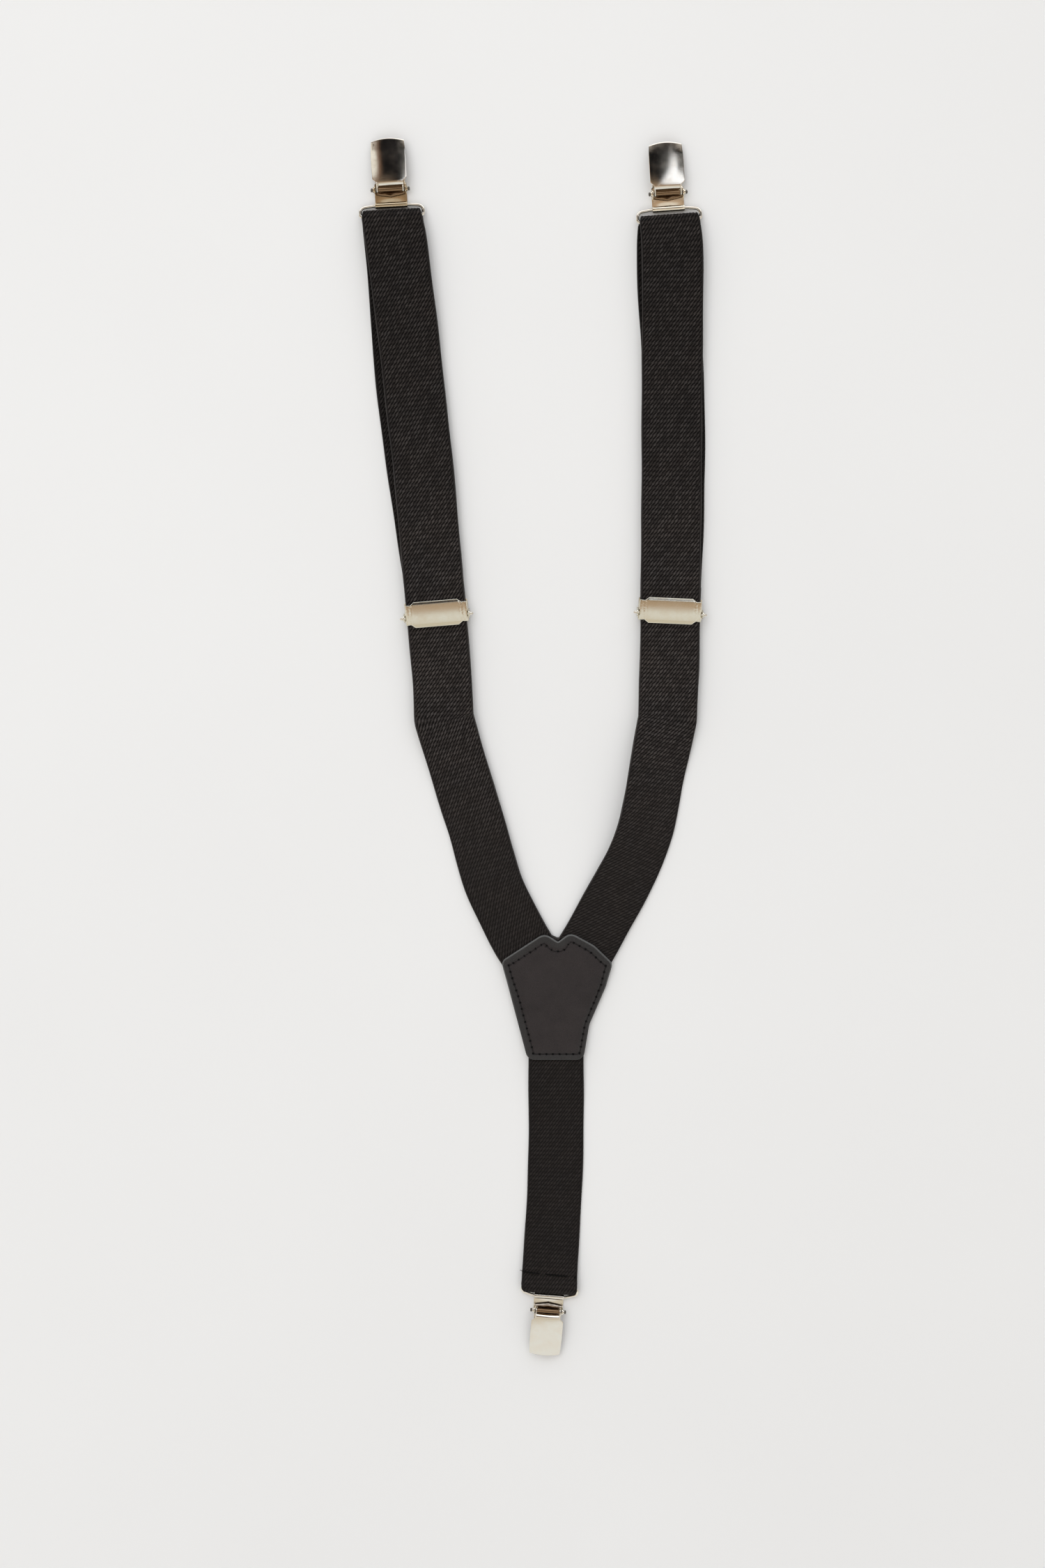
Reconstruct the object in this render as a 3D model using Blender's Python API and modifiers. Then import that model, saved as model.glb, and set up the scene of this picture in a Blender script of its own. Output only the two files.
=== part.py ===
"""Clip-on suspenders, laid flat with the front clips towards +Y and the back clip towards -Y.

Two elastic front straps run from a stitched leather patch, through a slide adjuster each, round the
wire loop of a clip and back down to the adjuster, where the strap's end is wrapped on the frame's bar.
One back strap runs from the patch to the third clip. Sizes below are in millimetres, and MM turns
them into metres. The origin is the middle of the outline on the surface that the straps lie on.
"""
import math

import bmesh
import bpy
from mathutils import Matrix, Vector

MM = 0.001
GAP = 0.3
SIDE_LABELS = ((-1, "left"), (1, "right"))

# Elastic webbing
WEB_THICKNESS = 1.3
FRONT_WIDTH = 34.8
BACK_WIDTH = 33.4
FOLD_SIDE_GAP = 0.4
NOSE_NARROWING = 1.3
FOLD_RAMP_ROWS = 3
FOLD_SLACK = 0.3
FOLD_STEPS = 8
FOLD_RADIUS = 2.65
WEB_COLUMNS = 4
HEM_SEAM_MARGIN = 0.8
HEM_SEAM_MIDDLE_X = 9.6
HEM_SEAM_SLANT = -0.11
HEM_SEAM_HEIGHT = 4.7

# Leather patch over the strap ends
PATCH_BACK_THICKNESS = 1.1
PATCH_FRONT_THICKNESS = 1.2
PATCH_MIDDLE_X = 13.5
STITCH_INSET = 3.6
THREAD_RADIUS = 0.3

# Wire loop that joins a strap to a clip
WIRE_RADIUS = 0.9
FRONT_LOOP_HALF_WIDTH = 17.8
BACK_LOOP_HALF_WIDTH = 16.9
LOOP_LENGTH = 7.3
LOOP_CORNER_RADIUS = 1.8
LOOP_SIDE_LENGTH = 4.3
LOOP_SHOULDER_RADIUS = 2.2
LOOP_BARREL_HALF_WIDTH = 9.8
BAR_HEIGHT = WEB_THICKNESS / 2 + FOLD_RADIUS
BARREL_RADIUS = 1.5
SHEET = 0.6
BARREL_HEIGHT = BARREL_RADIUS + SHEET / 2
BARREL_CURL_DEGREES = (25, 270)

# Clip, with y measured from the axis of the rolled barrel towards the jaws
PIN_Y = 8.3
PIN_Z = 4.9
PIN_RADIUS = 0.8
PIN_HEAD_RADIUS = 1.3
PIN_HALF_LENGTH = 11.0
BASE_HALF_WIDTH = 9.05
JAW_HALF_WIDTH = 8.2
BASE_NARROWS_Y = 12.0
BASE_EAR_X = 8.65
BASE_FLOOR_ROWS = (3.0, 5.0, 11.6, 13.0, 24.0, 33.2)
BASE_LIP = [(33.9, 0.6), (34.4, 1.5)]
BASE_EAR = [(5.4, 0.25, 0.3), (11.2, 0.25, 0.3), (10.1, 6.6, 1.5), (6.5, 6.6, 1.5)]
HOLE_HALF_LENGTH = 12.0
JAW_ROOT = (2.6, 1.15)
JAW_PROFILE = [
    (4.2, 1.5), (6.0, 2.45), (8.3, 2.5), (12.0, 2.6), (20.0, 2.8), (31.8, 3.0), (33.2, 2.8), (34.0, 2.3),
]
JAW_NECK_HALF_WIDTH = 6.4
JAW_WIDENS_Y = 12.5
JAW_WIDENING_LENGTH = 2.0
JAW_SHEET = 0.5
LEVER_TIP_Y = 36.3
LEVER_TOP_Z = 7.4
LEVER_TIP_Z = 4.4
LEVER_NECK_HALF_WIDTH = 7.7
LEVER_MIDDLE_HALF_WIDTH = 9.8
LEVER_TIP_HALF_WIDTH = 8.9
LEVER_CROWN = 1.7
LEVER_PLATE_Y = 11.5
LEVER_SHOULDER_Y = 12.6
LEVER_SHOULDER_LENGTH = 1.6
LEVER_MIDDLE_Y = 24.0
LEVER_CROWN_LENGTH = 2.5
LEVER_BOW = 1.5
LEVER_TIP_SAGITTA = 1.5
LEVER_TIP_CURVE_Y = 30.0
LEVER_CAM_WALL = [(10.35, 3.35), (10.35, 5.0), (10.4, 6.3), (10.75, 7.05)]
LEVER_EAR_X = 7.3
LEVER_EAR = [
    (6.7, 3.3, 1.5), (9.9, 3.3, 0.8), (12.4, 5.4, 1.0), (12.4, 7.3, 0.4), (10.6, 7.0, 0.4), (6.7, 6.5, 1.4),
]
PIN_HEAD_FLAT = 0.6
PIN_HEAD_CHAMFER = 0.4

# Slide adjuster, with y measured from its middle towards the clip
FRAME_BOTTOM = WEB_THICKNESS + GAP
FRAME_SHEET = 0.8
STRAP_IN_FRAME_BOTTOM = 2 * (WEB_THICKNESS + GAP) + FRAME_SHEET + GAP
STRAP_IN_FRAME_TOP = STRAP_IN_FRAME_BOTTOM + WEB_THICKNESS
ROD_RADIUS = 0.6
ROD_Y = -1.7
ROD_Z = STRAP_IN_FRAME_TOP + GAP + ROD_RADIUS
COVER_SHEET = 0.7
FRAME_HALF_WIDTH = 18.4
FRAME_LOW_Y = -6.5
FRAME_HIGH_Y = 7.0
FRAME_CORNER_RADIUS = 1.2
SLOT_HALF_WIDTH = 17.5
SLOT_LOW_Y = 0.5
SLOT_CORNER_RADIUS = 0.3
FRAME_EAR_FOOT = 2.6
FRAME_EAR_TOP = 1.5
FRAME_EAR_ABOVE_ROD = 1.4
FRAME_EAR_X = 19.0
FRAME_ARM_X = 18.6
FRAME_ARM_WIDTH = 1.3
FRAME_ARM_HEIGHT = 0.7
ROD_HOLE_HALF_LENGTH = 22.0
ROD_PROFILE = [(20.4, 0), (20.4, 0.35), (19.6, 1.0), (19.6, ROD_RADIUS)]
COVER_HALF_HEIGHT = 7.5
COVER_FIELD_X = 15.0
COVER_CHAMFER_X = 12.5
COVER_CHAMFER = 2.2
COVER_TAB_HALF_HEIGHT = 5.8
COVER_TAB_X = 17.2
COVER_WALL_X = 18.05
COVER_WALL_LOW_Z = 4.9
COVER_WALL_HIGH_Z = 6.3
LIP_Y = 7.05
LIP_HALF_WIDTH = 12.0
LIP_ROOT = 0.6
LIP_TEETH = 24
TOOTH_TIP = 0.1
TOOTH_VALLEY = 0.8
COVER_BOTTOM = ROD_Z + ROD_RADIUS + GAP
BAR_EDGE_Y = 3.0
TAIL_LENGTH = 11.0

# Where each assembly lies: a point and a turn about +Z in degrees
LEFT_ADJUSTER = (-57.5, 96.5, 4.74)
RIGHT_ADJUSTER = (78.3, 98.0, -2.5)
LEFT_CLIP = (-81.5, 326.7, 3.0)
RIGHT_CLIP = (75.0, 324.7, 4.0)
BACK_CLIP = (8.85, -323.4, 175.5)

# Centre lines of the webbing: x, y, height of the underside, and tilt in degrees that lifts the +X edge
LEFT_UPPER = [
    (-78.7, 305.4, 6.3, 0), (-74.8, 274.5, 5.6, 0), (-71.2, 243.4, 4.2, 0), (-67.7, 208.9, 4.1, 0),
    (-65.0, 186.0, 4.3, 0), (-63.5, 168.4, 4.3, 0), (-59.5, 120.2, 4.3, 0), (-55.5, 72.0, 4.3, 0),
    (-54.2, 54.0, 4.3, 0), (-53.5, 34.6, 4.6, 0),
]
LEFT_LOWER = [
    (-53.5, 34.6, 4.6, 0), (-48.9, 18.1, 2.9, 2), (-44.1, 1.5, 1.9, 4), (-39.2, -15.2, 1.5, 4),
    (-34.1, -31.9, 1.4, 4), (-29.6, -48.8, 1.5, 4), (-24.5, -65.7, 1.5, 3), (-16.8, -82.6, 1.4, 1),
    (-8.5, -99.0, 1.4, 0), (0.5, -113.5, 1.4, 0),
]
RIGHT_UPPER = [
    (77.0, 303.5, 6.3, 0), (77.6, 274.5, 5.6, 0), (77.8, 243.4, 4.2, 0), (78.0, 208.0, 4.1, 0),
    (78.2, 186.0, 4.3, 0), (78.3, 168.4, 4.3, 0), (78.3, 120.2, 4.3, 0), (78.3, 72.0, 4.3, 0),
    (77.8, 54.0, 4.3, 0), (77.4, 34.6, 4.6, -2),
]
RIGHT_LOWER = [
    (77.4, 34.6, 4.6, -2), (74.3, 18.1, 4.4, -9), (71.2, 1.5, 4.6, -14), (68.4, -15.2, 4.8, -15),
    (64.9, -31.9, 4.6, -14), (59.1, -48.8, 3.4, -10), (51.1, -65.7, 2.1, -5), (42.1, -82.6, 1.5, -1),
    (33.5, -99.0, 1.4, 0), (25.3, -113.0, 1.4, 0),
]
LEFT_RETURN = [
    (-79.4, 304.0, 0, 0), (-76.3, 274.5, 0, 0), (-74.1, 243.4, 0, 0), (-71.5, 208.9, 0, 0),
    (-66.8, 168.4, 0, 0), (-62.8, 140.4, 0, 0), (-59.4, 120.0, 0, 0),
]
RIGHT_RETURN = [
    (74.6, 304.0, 0, 0), (75.7, 274.5, 0, 0), (78.1, 243.4, 0, 0), (79.9, 208.0, 0, 0),
    (80.2, 168.0, 0, 0), (79.9, 140.0, 0, 0), (79.3, 120.0, 0, 0),
]
BACK_RUN = [
    (12.8, -127.5, 1.4, 0), (12.9, -150.0, 1.4, 0), (12.7, -177.3, 1.3, 0), (12.9, -203.5, 0, 0),
    (12.8, -229.9, 0, 0), (12.0, -256.4, 0, 0), (10.8, -283.2, 0.5, 0), (10.0, -300.0, 1.7, 0),
    (9.6, -309.0, 2.6, 0),
]
BACK_TAIL_Y = -304.5
BACK_SEAM_Y = -308.6

# Outline of the patch: corner x, corner y, corner radius
PATCH_OUTLINE = [
    (13.7, -99.9, 1.0), (5.6, -94.4, 6.0), (-20.2, -111.6, 4.0), (-4.4, -172.6, 5.5),
    (29.0, -172.6, 5.0), (32.6, -151.0, 12.0), (42.4, -127.5, 25.0), (46.4, -112.9, 4.0),
    (35.6, -102.2, 14.0), (21.0, -94.0, 6.0),
]

MATERIALS = {
    "webbing": ((0.022, 0.020, 0.019, 1), 0.85, 0.0),
    "leather": ((0.035, 0.034, 0.034, 1), 0.5, 0.0),
    "thread": ((0.012, 0.012, 0.012, 1), 0.7, 0.0),
    "nickel": ((0.72, 0.68, 0.60, 1), 0.18, 1.0),
    "spring_steel": ((0.62, 0.58, 0.50, 1), 0.25, 1.0),
}


def clear_scene():
    for old in list(bpy.data.objects):
        bpy.data.objects.remove(old, do_unlink=True)


def make_collection(name):
    collection = bpy.data.collections.new(name)
    bpy.context.scene.collection.children.link(collection)
    return collection


def make_material(name):
    colour, roughness, metallic = MATERIALS[name]
    material = bpy.data.materials.new(name)
    material.use_nodes = True
    shader = material.node_tree.nodes["Principled BSDF"]
    shader.inputs["Base Color"].default_value = colour
    shader.inputs["Roughness"].default_value = roughness
    shader.inputs["Metallic"].default_value = metallic
    material.diffuse_color = colour
    return material


def new_object(name, mesh, material, collection, parent=None):
    piece = bpy.data.objects.new(name, mesh)
    collection.objects.link(piece)
    piece.parent = parent
    if mesh is not None and not mesh.materials:
        mesh.materials.append(material)
    return piece


def frame_at(name, place, collection, parent=None):
    """An empty at x, y on the surface, turned about +Z."""
    x, y, turn = place
    empty = bpy.data.objects.new(name, None)
    empty.location = (x * MM, y * MM, 0)
    empty.rotation_euler = (0, 0, math.radians(turn))
    empty.parent = parent
    collection.objects.link(empty)
    return empty


def set_origin(piece, pivot):
    """Moves a piece's origin to a pivot given in its parent's millimetres, and leaves its shape."""
    shift = Vector(pivot) * MM
    piece.data.transform(Matrix.Translation(-shift))
    piece.location = shift


def smooth_shading(piece, angle=35):
    piece.data.shade_smooth()
    piece.data.set_sharp_from_angle(angle=math.radians(angle))


def solidify(piece, thickness):
    shell = piece.modifiers.new("thickness", "SOLIDIFY")
    shell.thickness = thickness * MM
    shell.offset = 0
    shell.use_even_offset = True


def combine(piece, other, operation):
    step = piece.modifiers.new(operation.lower(), "BOOLEAN")
    step.operation = operation
    step.solver = "EXACT"
    step.object = other


def as_cutter(piece):
    piece.hide_render = True
    piece.display_type = "WIRE"


def sheet(name, columns, rows, point_at, thickness, material, collection, parent=None):
    """A grid whose points are placed by point_at(across, row), thickened both ways."""
    grid = bmesh.new()
    bmesh.ops.create_grid(grid, x_segments=columns, y_segments=rows, size=0.5)
    for vert in grid.verts:
        across = vert.co.x * 2
        row = round((vert.co.y + 0.5) * rows)
        vert.co = Vector(point_at(across, row)) * MM
    mesh = bpy.data.meshes.new(name)
    grid.to_mesh(mesh)
    grid.free()
    piece = new_object(name, mesh, material, collection, parent)
    solidify(piece, thickness)
    smooth_shading(piece)
    return piece


def spline_path(points, steps):
    """A Catmull-Rom curve through the points; its first and last points are its ends."""
    ends = [points[0], *points, points[-1]]
    path = []
    for before, start, stop, after in zip(ends, ends[1:], ends[2:], ends[3:]):
        for step in range(steps):
            t = step / steps
            path.append(tuple(
                0.5 * (2 * b + (c - a) * t + (2 * a - 5 * b + 4 * c - d) * t * t
                       + (3 * b - a - 3 * c + d) * t ** 3)
                for a, b, c, d in zip(before, start, stop, after)
            ))
    path.append(points[-1])
    return path


def raise_to_middle(path):
    """From the height of the underside, never below the surface, to that of the webbing's middle."""
    return [(x, y, max(z, 0) + WEB_THICKNESS / 2, tilt) for x, y, z, tilt in path]


def half_turn(centre, direction, radius, low, going_down, steps=FOLD_STEPS):
    """Points of a fold about a crosswise axis; direction points away from the strap."""
    points = []
    for step in range(1, steps):
        angle = math.pi * step / steps
        height = math.cos(angle) if going_down else -math.cos(angle)
        reach = radius * math.sin(angle)
        points.append((centre[0] + direction[0] * reach, centre[1] + direction[1] * reach,
                       low + radius + radius * height, 0))
    return points


def fold_width(loop_half_width):
    """The widest fold that the wire's sides still swing past."""
    return 2 * (loop_half_width - WIRE_RADIUS - FOLD_SIDE_GAP)


def nose_widths(width):
    """The fold narrows towards its nose, where the wire's shoulders close in."""
    return [width - NOSE_NARROWING * math.sin(math.pi * step / FOLD_STEPS) for step in range(1, FOLD_STEPS)]


def run_widths(full, folded, rows):
    """Widths of a run that starts at the fold and reaches its full width a few rows on."""
    return [folded + (full - folded) * min(max((row - 1) / FOLD_RAMP_ROWS, 0), 1) for row in range(rows)]


def ribbon(name, path, widths, material, collection, cut_x=None, cut_side=0, flat=None):
    """Webbing along a path. Its cross direction comes from the plan view, or from flat where given."""
    count = len(path)
    crosses = []
    for index in range(count):
        if flat and flat[index]:
            dx, dy = flat[index]
        else:
            before = path[max(index - 1, 0)]
            after = path[min(index + 1, count - 1)]
            dx, dy = after[0] - before[0], after[1] - before[1]
        size = math.hypot(dx, dy)
        cross = Vector((dy / size, -dx / size, 0))
        crosses.append(cross if cross.x > 0 else -cross)

    def point_at(across, row):
        x, y, z, tilt = path[row]
        half = widths[row] / 2 * across
        flat_reach = half * math.cos(math.radians(tilt))
        spot = Vector((x, y, z)) + crosses[row] * flat_reach
        spot.z += half * math.sin(math.radians(tilt))
        if cut_side:
            spot.x = cut_side * max(cut_side * spot.x, cut_side * cut_x)
        return spot

    return sheet(name, WEB_COLUMNS, count - 1, point_at, WEB_THICKNESS, material, collection)


def direction_of(turn):
    """The unit vector along an assembly's own +Y."""
    angle = math.radians(turn)
    return (-math.sin(angle), math.cos(angle))


def along(place, distance):
    x, y, turn = place
    dx, dy = direction_of(turn)
    return (x + dx * distance, y + dy * distance)


def bar_reach():
    """Distance in plan from the clip's barrel to the wire's bar inside the fold."""
    return math.sqrt(LOOP_LENGTH ** 2 - (BAR_HEIGHT - BARREL_HEIGHT) ** 2)


def fold_centre(clip, slack):
    """Centre of the webbing's fold, a little beyond the wire's bar."""
    return along(clip, -bar_reach() + slack)


def front_strap(name, upper, lower, clip, side, material, collection):
    """The single layer from the patch, through the adjuster, up to the top of the fold."""
    top = fold_centre(clip, FOLD_SLACK)
    top_height = 2 * FOLD_RADIUS
    path = spline_path([(top[0], top[1], top_height, 0), *upper], 3)
    path += spline_path(lower, 3)[1:]
    path = raise_to_middle(path)
    widths = run_widths(FRONT_WIDTH, fold_width(FRONT_LOOP_HALF_WIDTH), len(path))
    flat = [direction_of(clip[2])] * 2 + [None] * (len(path) - 2)
    cut_x = PATCH_MIDDLE_X + side * GAP / 2
    return ribbon(name, path, widths, material, collection, cut_x, side, flat)


def strap_return(name, route, clip, adjuster, material, collection):
    """The fold round the wire, the layer beneath, and the end wrapped on the adjuster's bar."""
    top = fold_centre(clip, FOLD_SLACK)
    ahead = direction_of(clip[2])
    fold_low = WEB_THICKNESS / 2
    fold_top = fold_low + 2 * FOLD_RADIUS
    start = (top[0] + ahead[0] * GAP, top[1] + ahead[1] * GAP, fold_top, 0)
    path = [start, *half_turn(start, ahead, FOLD_RADIUS, fold_low, True)]
    turned = len(path)
    up = direction_of(adjuster[2])
    wrap_y = BAR_EDGE_Y - 0.1
    wrap = along(adjuster, wrap_y)
    straight = along(adjuster, wrap_y + TAIL_LENGTH + 2)
    layer = [(start[0], start[1], 0, 0), *route[:-1], (*straight, 0, 0), (*wrap, 0, 0)]
    path += raise_to_middle(spline_path(layer, 3))
    laid = len(path)
    wrap_radius = (FRAME_SHEET + 2 * GAP + WEB_THICKNESS) / 2
    back = (-up[0], -up[1])
    path += half_turn(wrap, back, wrap_radius, fold_low, False, 6)
    tail_height = fold_low + 2 * wrap_radius
    for distance in (0, TAIL_LENGTH / 2, TAIL_LENGTH):
        path.append((*along(adjuster, wrap_y + distance), tail_height, 0))
    flat = [ahead if row <= turned else None for row in range(laid)]
    flat[laid - 1] = up
    flat += [up] * (len(path) - laid)
    folded = fold_width(FRONT_LOOP_HALF_WIDTH)
    widths = [folded, *nose_widths(folded)]
    widths += run_widths(FRONT_WIDTH, folded, len(path) - len(widths))
    return ribbon(name, path, widths, material, collection, flat=flat)


def back_strap(name, clip, material, collection):
    """From under the patch to the back clip, folded round its wire and hemmed beneath."""
    ahead = direction_of(clip[2])
    centre = fold_centre(clip, FOLD_SLACK)
    fold_low = WEB_THICKNESS / 2
    run = spline_path([*BACK_RUN, (*centre, 2 * FOLD_RADIUS, 0)], 3)
    path = raise_to_middle(run)
    rows = len(path)
    path += half_turn(centre, ahead, FOLD_RADIUS, fold_low, True)
    lean = (BACK_RUN[-1][0] - centre[0]) / (BACK_RUN[-1][1] - centre[1])
    for y in (centre[1], (centre[1] + BACK_TAIL_Y) / 2, BACK_TAIL_Y):
        path.append((centre[0] + lean * (y - centre[1]), y, fold_low, 0))
    flat = [None] * (rows - 1) + [ahead] * (len(path) - rows + 1)
    folded = fold_width(BACK_LOOP_HALF_WIDTH)
    widths = run_widths(BACK_WIDTH, folded, rows)[::-1] + nose_widths(folded)
    widths += [folded] * (len(path) - len(widths))
    return ribbon(name, path, widths, material, collection, flat=flat)


def rounded(corners, steps=5):
    """A closed outline with each corner replaced by an arc of its radius."""
    outline = []
    count = len(corners)
    for index, (x, y, radius) in enumerate(corners):
        corner = Vector((x, y))
        before = Vector(corners[index - 1][:2]) - corner
        after = Vector(corners[(index + 1) % count][:2]) - corner
        before.normalize()
        after.normalize()
        half = before.angle(after) / 2
        reach = radius / math.tan(half)
        first = corner + before * reach
        last = corner + after * reach
        middle = corner + (before + after).normalized() * (radius / math.sin(half))
        start = first - middle
        stop = last - middle
        sweep = start.angle(stop)
        turn = 1 if start.x * stop.y - start.y * stop.x > 0 else -1
        for step in range(steps + 1):
            angle = turn * sweep * step / steps
            outline.append(middle + Matrix.Rotation(angle, 2) @ start)
    return outline


def inset(outline, distance):
    """The outline moved inwards; it runs anticlockwise."""
    moved = []
    count = len(outline)
    for index, point in enumerate(outline):
        edge = outline[(index + 1) % count] - outline[index - 1]
        edge.normalize()
        moved.append(point + Vector((-edge.y, edge.x)) * distance)
    return moved


def curve_to_mesh(piece, weld=0.00001):
    """Replaces a curve object by a closed mesh object in the same place."""
    graph = bpy.context.evaluated_depsgraph_get()
    mesh = bpy.data.meshes.new_from_object(piece.evaluated_get(graph))
    shape = bmesh.new()
    shape.from_mesh(mesh)
    bmesh.ops.remove_doubles(shape, verts=shape.verts, dist=weld)
    bmesh.ops.recalc_face_normals(shape, faces=shape.faces)
    shape.to_mesh(mesh)
    shape.free()
    name = piece.name
    parent = piece.parent
    matrix = piece.matrix_world.copy()
    collection = piece.users_collection[0]
    material = piece.data.materials[0]
    bpy.data.objects.remove(piece, do_unlink=True)
    made = new_object(name, mesh, material, collection, parent)
    if parent is None:
        made.matrix_world = matrix
    mesh.name = name
    return made


def plate(name, outline, bottom, thickness, material, collection, parent=None):
    """A flat outline, thickened upwards from bottom."""
    curve = bpy.data.curves.new(name, "CURVE")
    curve.dimensions = "2D"
    curve.fill_mode = "BOTH"
    curve.extrude = thickness / 2 * MM
    spline = curve.splines.new("POLY")
    spline.points.add(len(outline) - 1)
    for point, spot in zip(spline.points, outline):
        point.co = (spot[0] * MM, spot[1] * MM, 0, 1)
    spline.use_cyclic_u = True
    curve.materials.append(material)
    piece = new_object(name, curve, material, collection, parent)
    piece = curve_to_mesh(piece)
    piece.data.transform(Matrix.Translation((0, 0, (bottom + thickness / 2) * MM)))
    return piece


def side_plate(name, outline, x, thickness, material, collection, parent):
    """An outline drawn in y and z, thickened about the plane at x."""
    piece = plate(name, outline, -thickness / 2, thickness, material, collection, parent)
    upright = Matrix(((0, 0, 1, x * MM), (1, 0, 0, 0), (0, 1, 0, 0), (0, 0, 0, 1)))
    piece.data.transform(upright)
    return piece


def wire(name, points, radius, closed, material, collection, parent=None):
    curve = bpy.data.curves.new(name, "CURVE")
    curve.dimensions = "3D"
    curve.bevel_depth = radius * MM
    curve.bevel_resolution = 2
    curve.use_fill_caps = True
    spline = curve.splines.new("POLY")
    spline.points.add(len(points) - 1)
    for point, spot in zip(spline.points, points):
        point.co = (spot[0] * MM, spot[1] * MM, spot[2] * MM, 1)
    spline.use_cyclic_u = closed
    spline.use_smooth = True
    curve.materials.append(material)
    return new_object(name, curve, material, collection, parent)


def cross_cylinder(name, radius, half_length, y, z, collection, parent, material):
    """A cylinder along x."""
    shape = bmesh.new()
    bmesh.ops.create_cone(shape, cap_ends=True, segments=20, radius1=radius * MM, radius2=radius * MM,
                          depth=2 * half_length * MM)
    mesh = bpy.data.meshes.new(name)
    shape.to_mesh(mesh)
    shape.free()
    mesh.transform(Matrix.Translation((0, y * MM, z * MM)) @ Matrix.Rotation(math.pi / 2, 4, "Y"))
    return new_object(name, mesh, material, collection, parent)


def turned_pin(name, profile, y, z, material, collection, parent):
    """A pin along x, turned from radii given at positions along it."""
    shape = bmesh.new()
    verts = [shape.verts.new((radius * MM, 0, height * MM)) for height, radius in profile]
    for first, second in zip(verts, verts[1:]):
        shape.edges.new((first, second))
    mesh = bpy.data.meshes.new(name)
    shape.to_mesh(mesh)
    shape.free()
    piece = new_object(name, mesh, material, collection, parent)
    screw = piece.modifiers.new("turn", "SCREW")
    screw.axis = "Z"
    screw.steps = 16
    screw.render_steps = 16
    screw.use_merge_vertices = True
    screw.merge_threshold = 0.00001
    piece.location = (0, y * MM, z * MM)
    piece.rotation_euler = (0, math.pi / 2, 0)
    return piece


def wire_loop(name, half, materials, collection, parent):
    """A closed wire with sloping shoulders, tilted from the barrel up to the bar in the fold."""
    corners = [(half, 0, LOOP_CORNER_RADIUS), (half, LOOP_SIDE_LENGTH, LOOP_SHOULDER_RADIUS),
               (LOOP_BARREL_HALF_WIDTH, LOOP_LENGTH, LOOP_CORNER_RADIUS)]
    corners += [(-x, y, radius) for x, y, radius in reversed(corners)]
    rise = (BARREL_HEIGHT - BAR_HEIGHT) / LOOP_LENGTH
    run = bar_reach() / LOOP_LENGTH
    points = [(spot.x, spot.y * run, spot.y * rise) for spot in rounded(corners, 4)]
    piece = wire(name, points, WIRE_RADIUS, True, materials["nickel"], collection, parent)
    piece.location = (0, -bar_reach() * MM, BAR_HEIGHT * MM)
    return piece


def profile_points(points, steps):
    """A side profile in y and z, smoothed through its points."""
    return [spot[:2] for spot in spline_path([(y, z) for y, z in points], steps)]


def clip_base(name, materials, parts, cutters, parent):
    """Lower jaw: a sheet rolled round the wire, with two ears for the pin and a turned-up lip."""
    curl = []
    curl_start, curl_end = BARREL_CURL_DEGREES
    steps = 14
    for step in range(steps + 1):
        angle = math.radians(curl_start + (curl_end - curl_start) * step / steps)
        curl.append((BARREL_RADIUS * math.cos(angle), BARREL_HEIGHT + BARREL_RADIUS * math.sin(angle)))
    floor_z = SHEET / 2
    rows = curl + [(y, floor_z) for y in BASE_FLOOR_ROWS] + BASE_LIP

    def half_width(y):
        return BASE_HALF_WIDTH if y < BASE_NARROWS_Y else JAW_HALF_WIDTH

    def point_at(across, row):
        y, z = rows[row]
        return (across * half_width(y), y, z)

    base = sheet(name, 4, len(rows) - 1, point_at, SHEET, materials["nickel"], parts, parent)
    for side, label in SIDE_LABELS:
        ear = side_plate(f"{name}_ear_{label}", rounded(BASE_EAR), side * BASE_EAR_X, SHEET,
                         materials["nickel"], cutters, parent)
        as_cutter(ear)
        combine(base, ear, "UNION")
    hole = cross_cylinder(f"{name}_pin_hole", PIN_RADIUS + GAP, HOLE_HALF_LENGTH, PIN_Y, PIN_Z, cutters,
                          parent, materials["nickel"])
    as_cutter(hole)
    combine(base, hole, "DIFFERENCE")
    set_origin(base, (0, 0, BARREL_HEIGHT))
    return base


def clip_jaw(name, materials, collection, parent):
    """Upper jaw: a spring leaf with a raised ridge, pressed down by the lever's cam wall."""
    rows = profile_points([JAW_ROOT, *JAW_PROFILE], 2)
    ridge_height = 0.6
    ridge_y = 5.4
    ridge_reach = 2.2

    def point_at(across, row):
        y, z = rows[row]
        widened = min(max((y - JAW_WIDENS_Y) / JAW_WIDENING_LENGTH, 0), 1)
        half = JAW_NECK_HALF_WIDTH + (JAW_HALF_WIDTH - JAW_NECK_HALF_WIDTH) * widened
        ridge = max(0, 1 - abs(across)) * max(0, 1 - abs(y - ridge_y) / ridge_reach)
        return (across * half, y, z + ridge_height * ridge)

    jaw = sheet(name, 6, len(rows) - 1, point_at, JAW_SHEET, materials["spring_steel"], collection, parent)
    set_origin(jaw, (0, *JAW_ROOT))
    return jaw


def lever_half_width(y):
    """Half width of the lever: neck, shoulders, a slightly bulging middle, and a narrower end."""
    shoulder = min(max((y - LEVER_SHOULDER_Y) / LEVER_SHOULDER_LENGTH, 0), 1)
    spread = (y - LEVER_MIDDLE_Y) / (LEVER_TIP_Y - LEVER_MIDDLE_Y)
    body = LEVER_MIDDLE_HALF_WIDTH - (LEVER_MIDDLE_HALF_WIDTH - LEVER_TIP_HALF_WIDTH) * spread ** 2
    return LEVER_NECK_HALF_WIDTH + (body - LEVER_NECK_HALF_WIDTH) * shoulder


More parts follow.
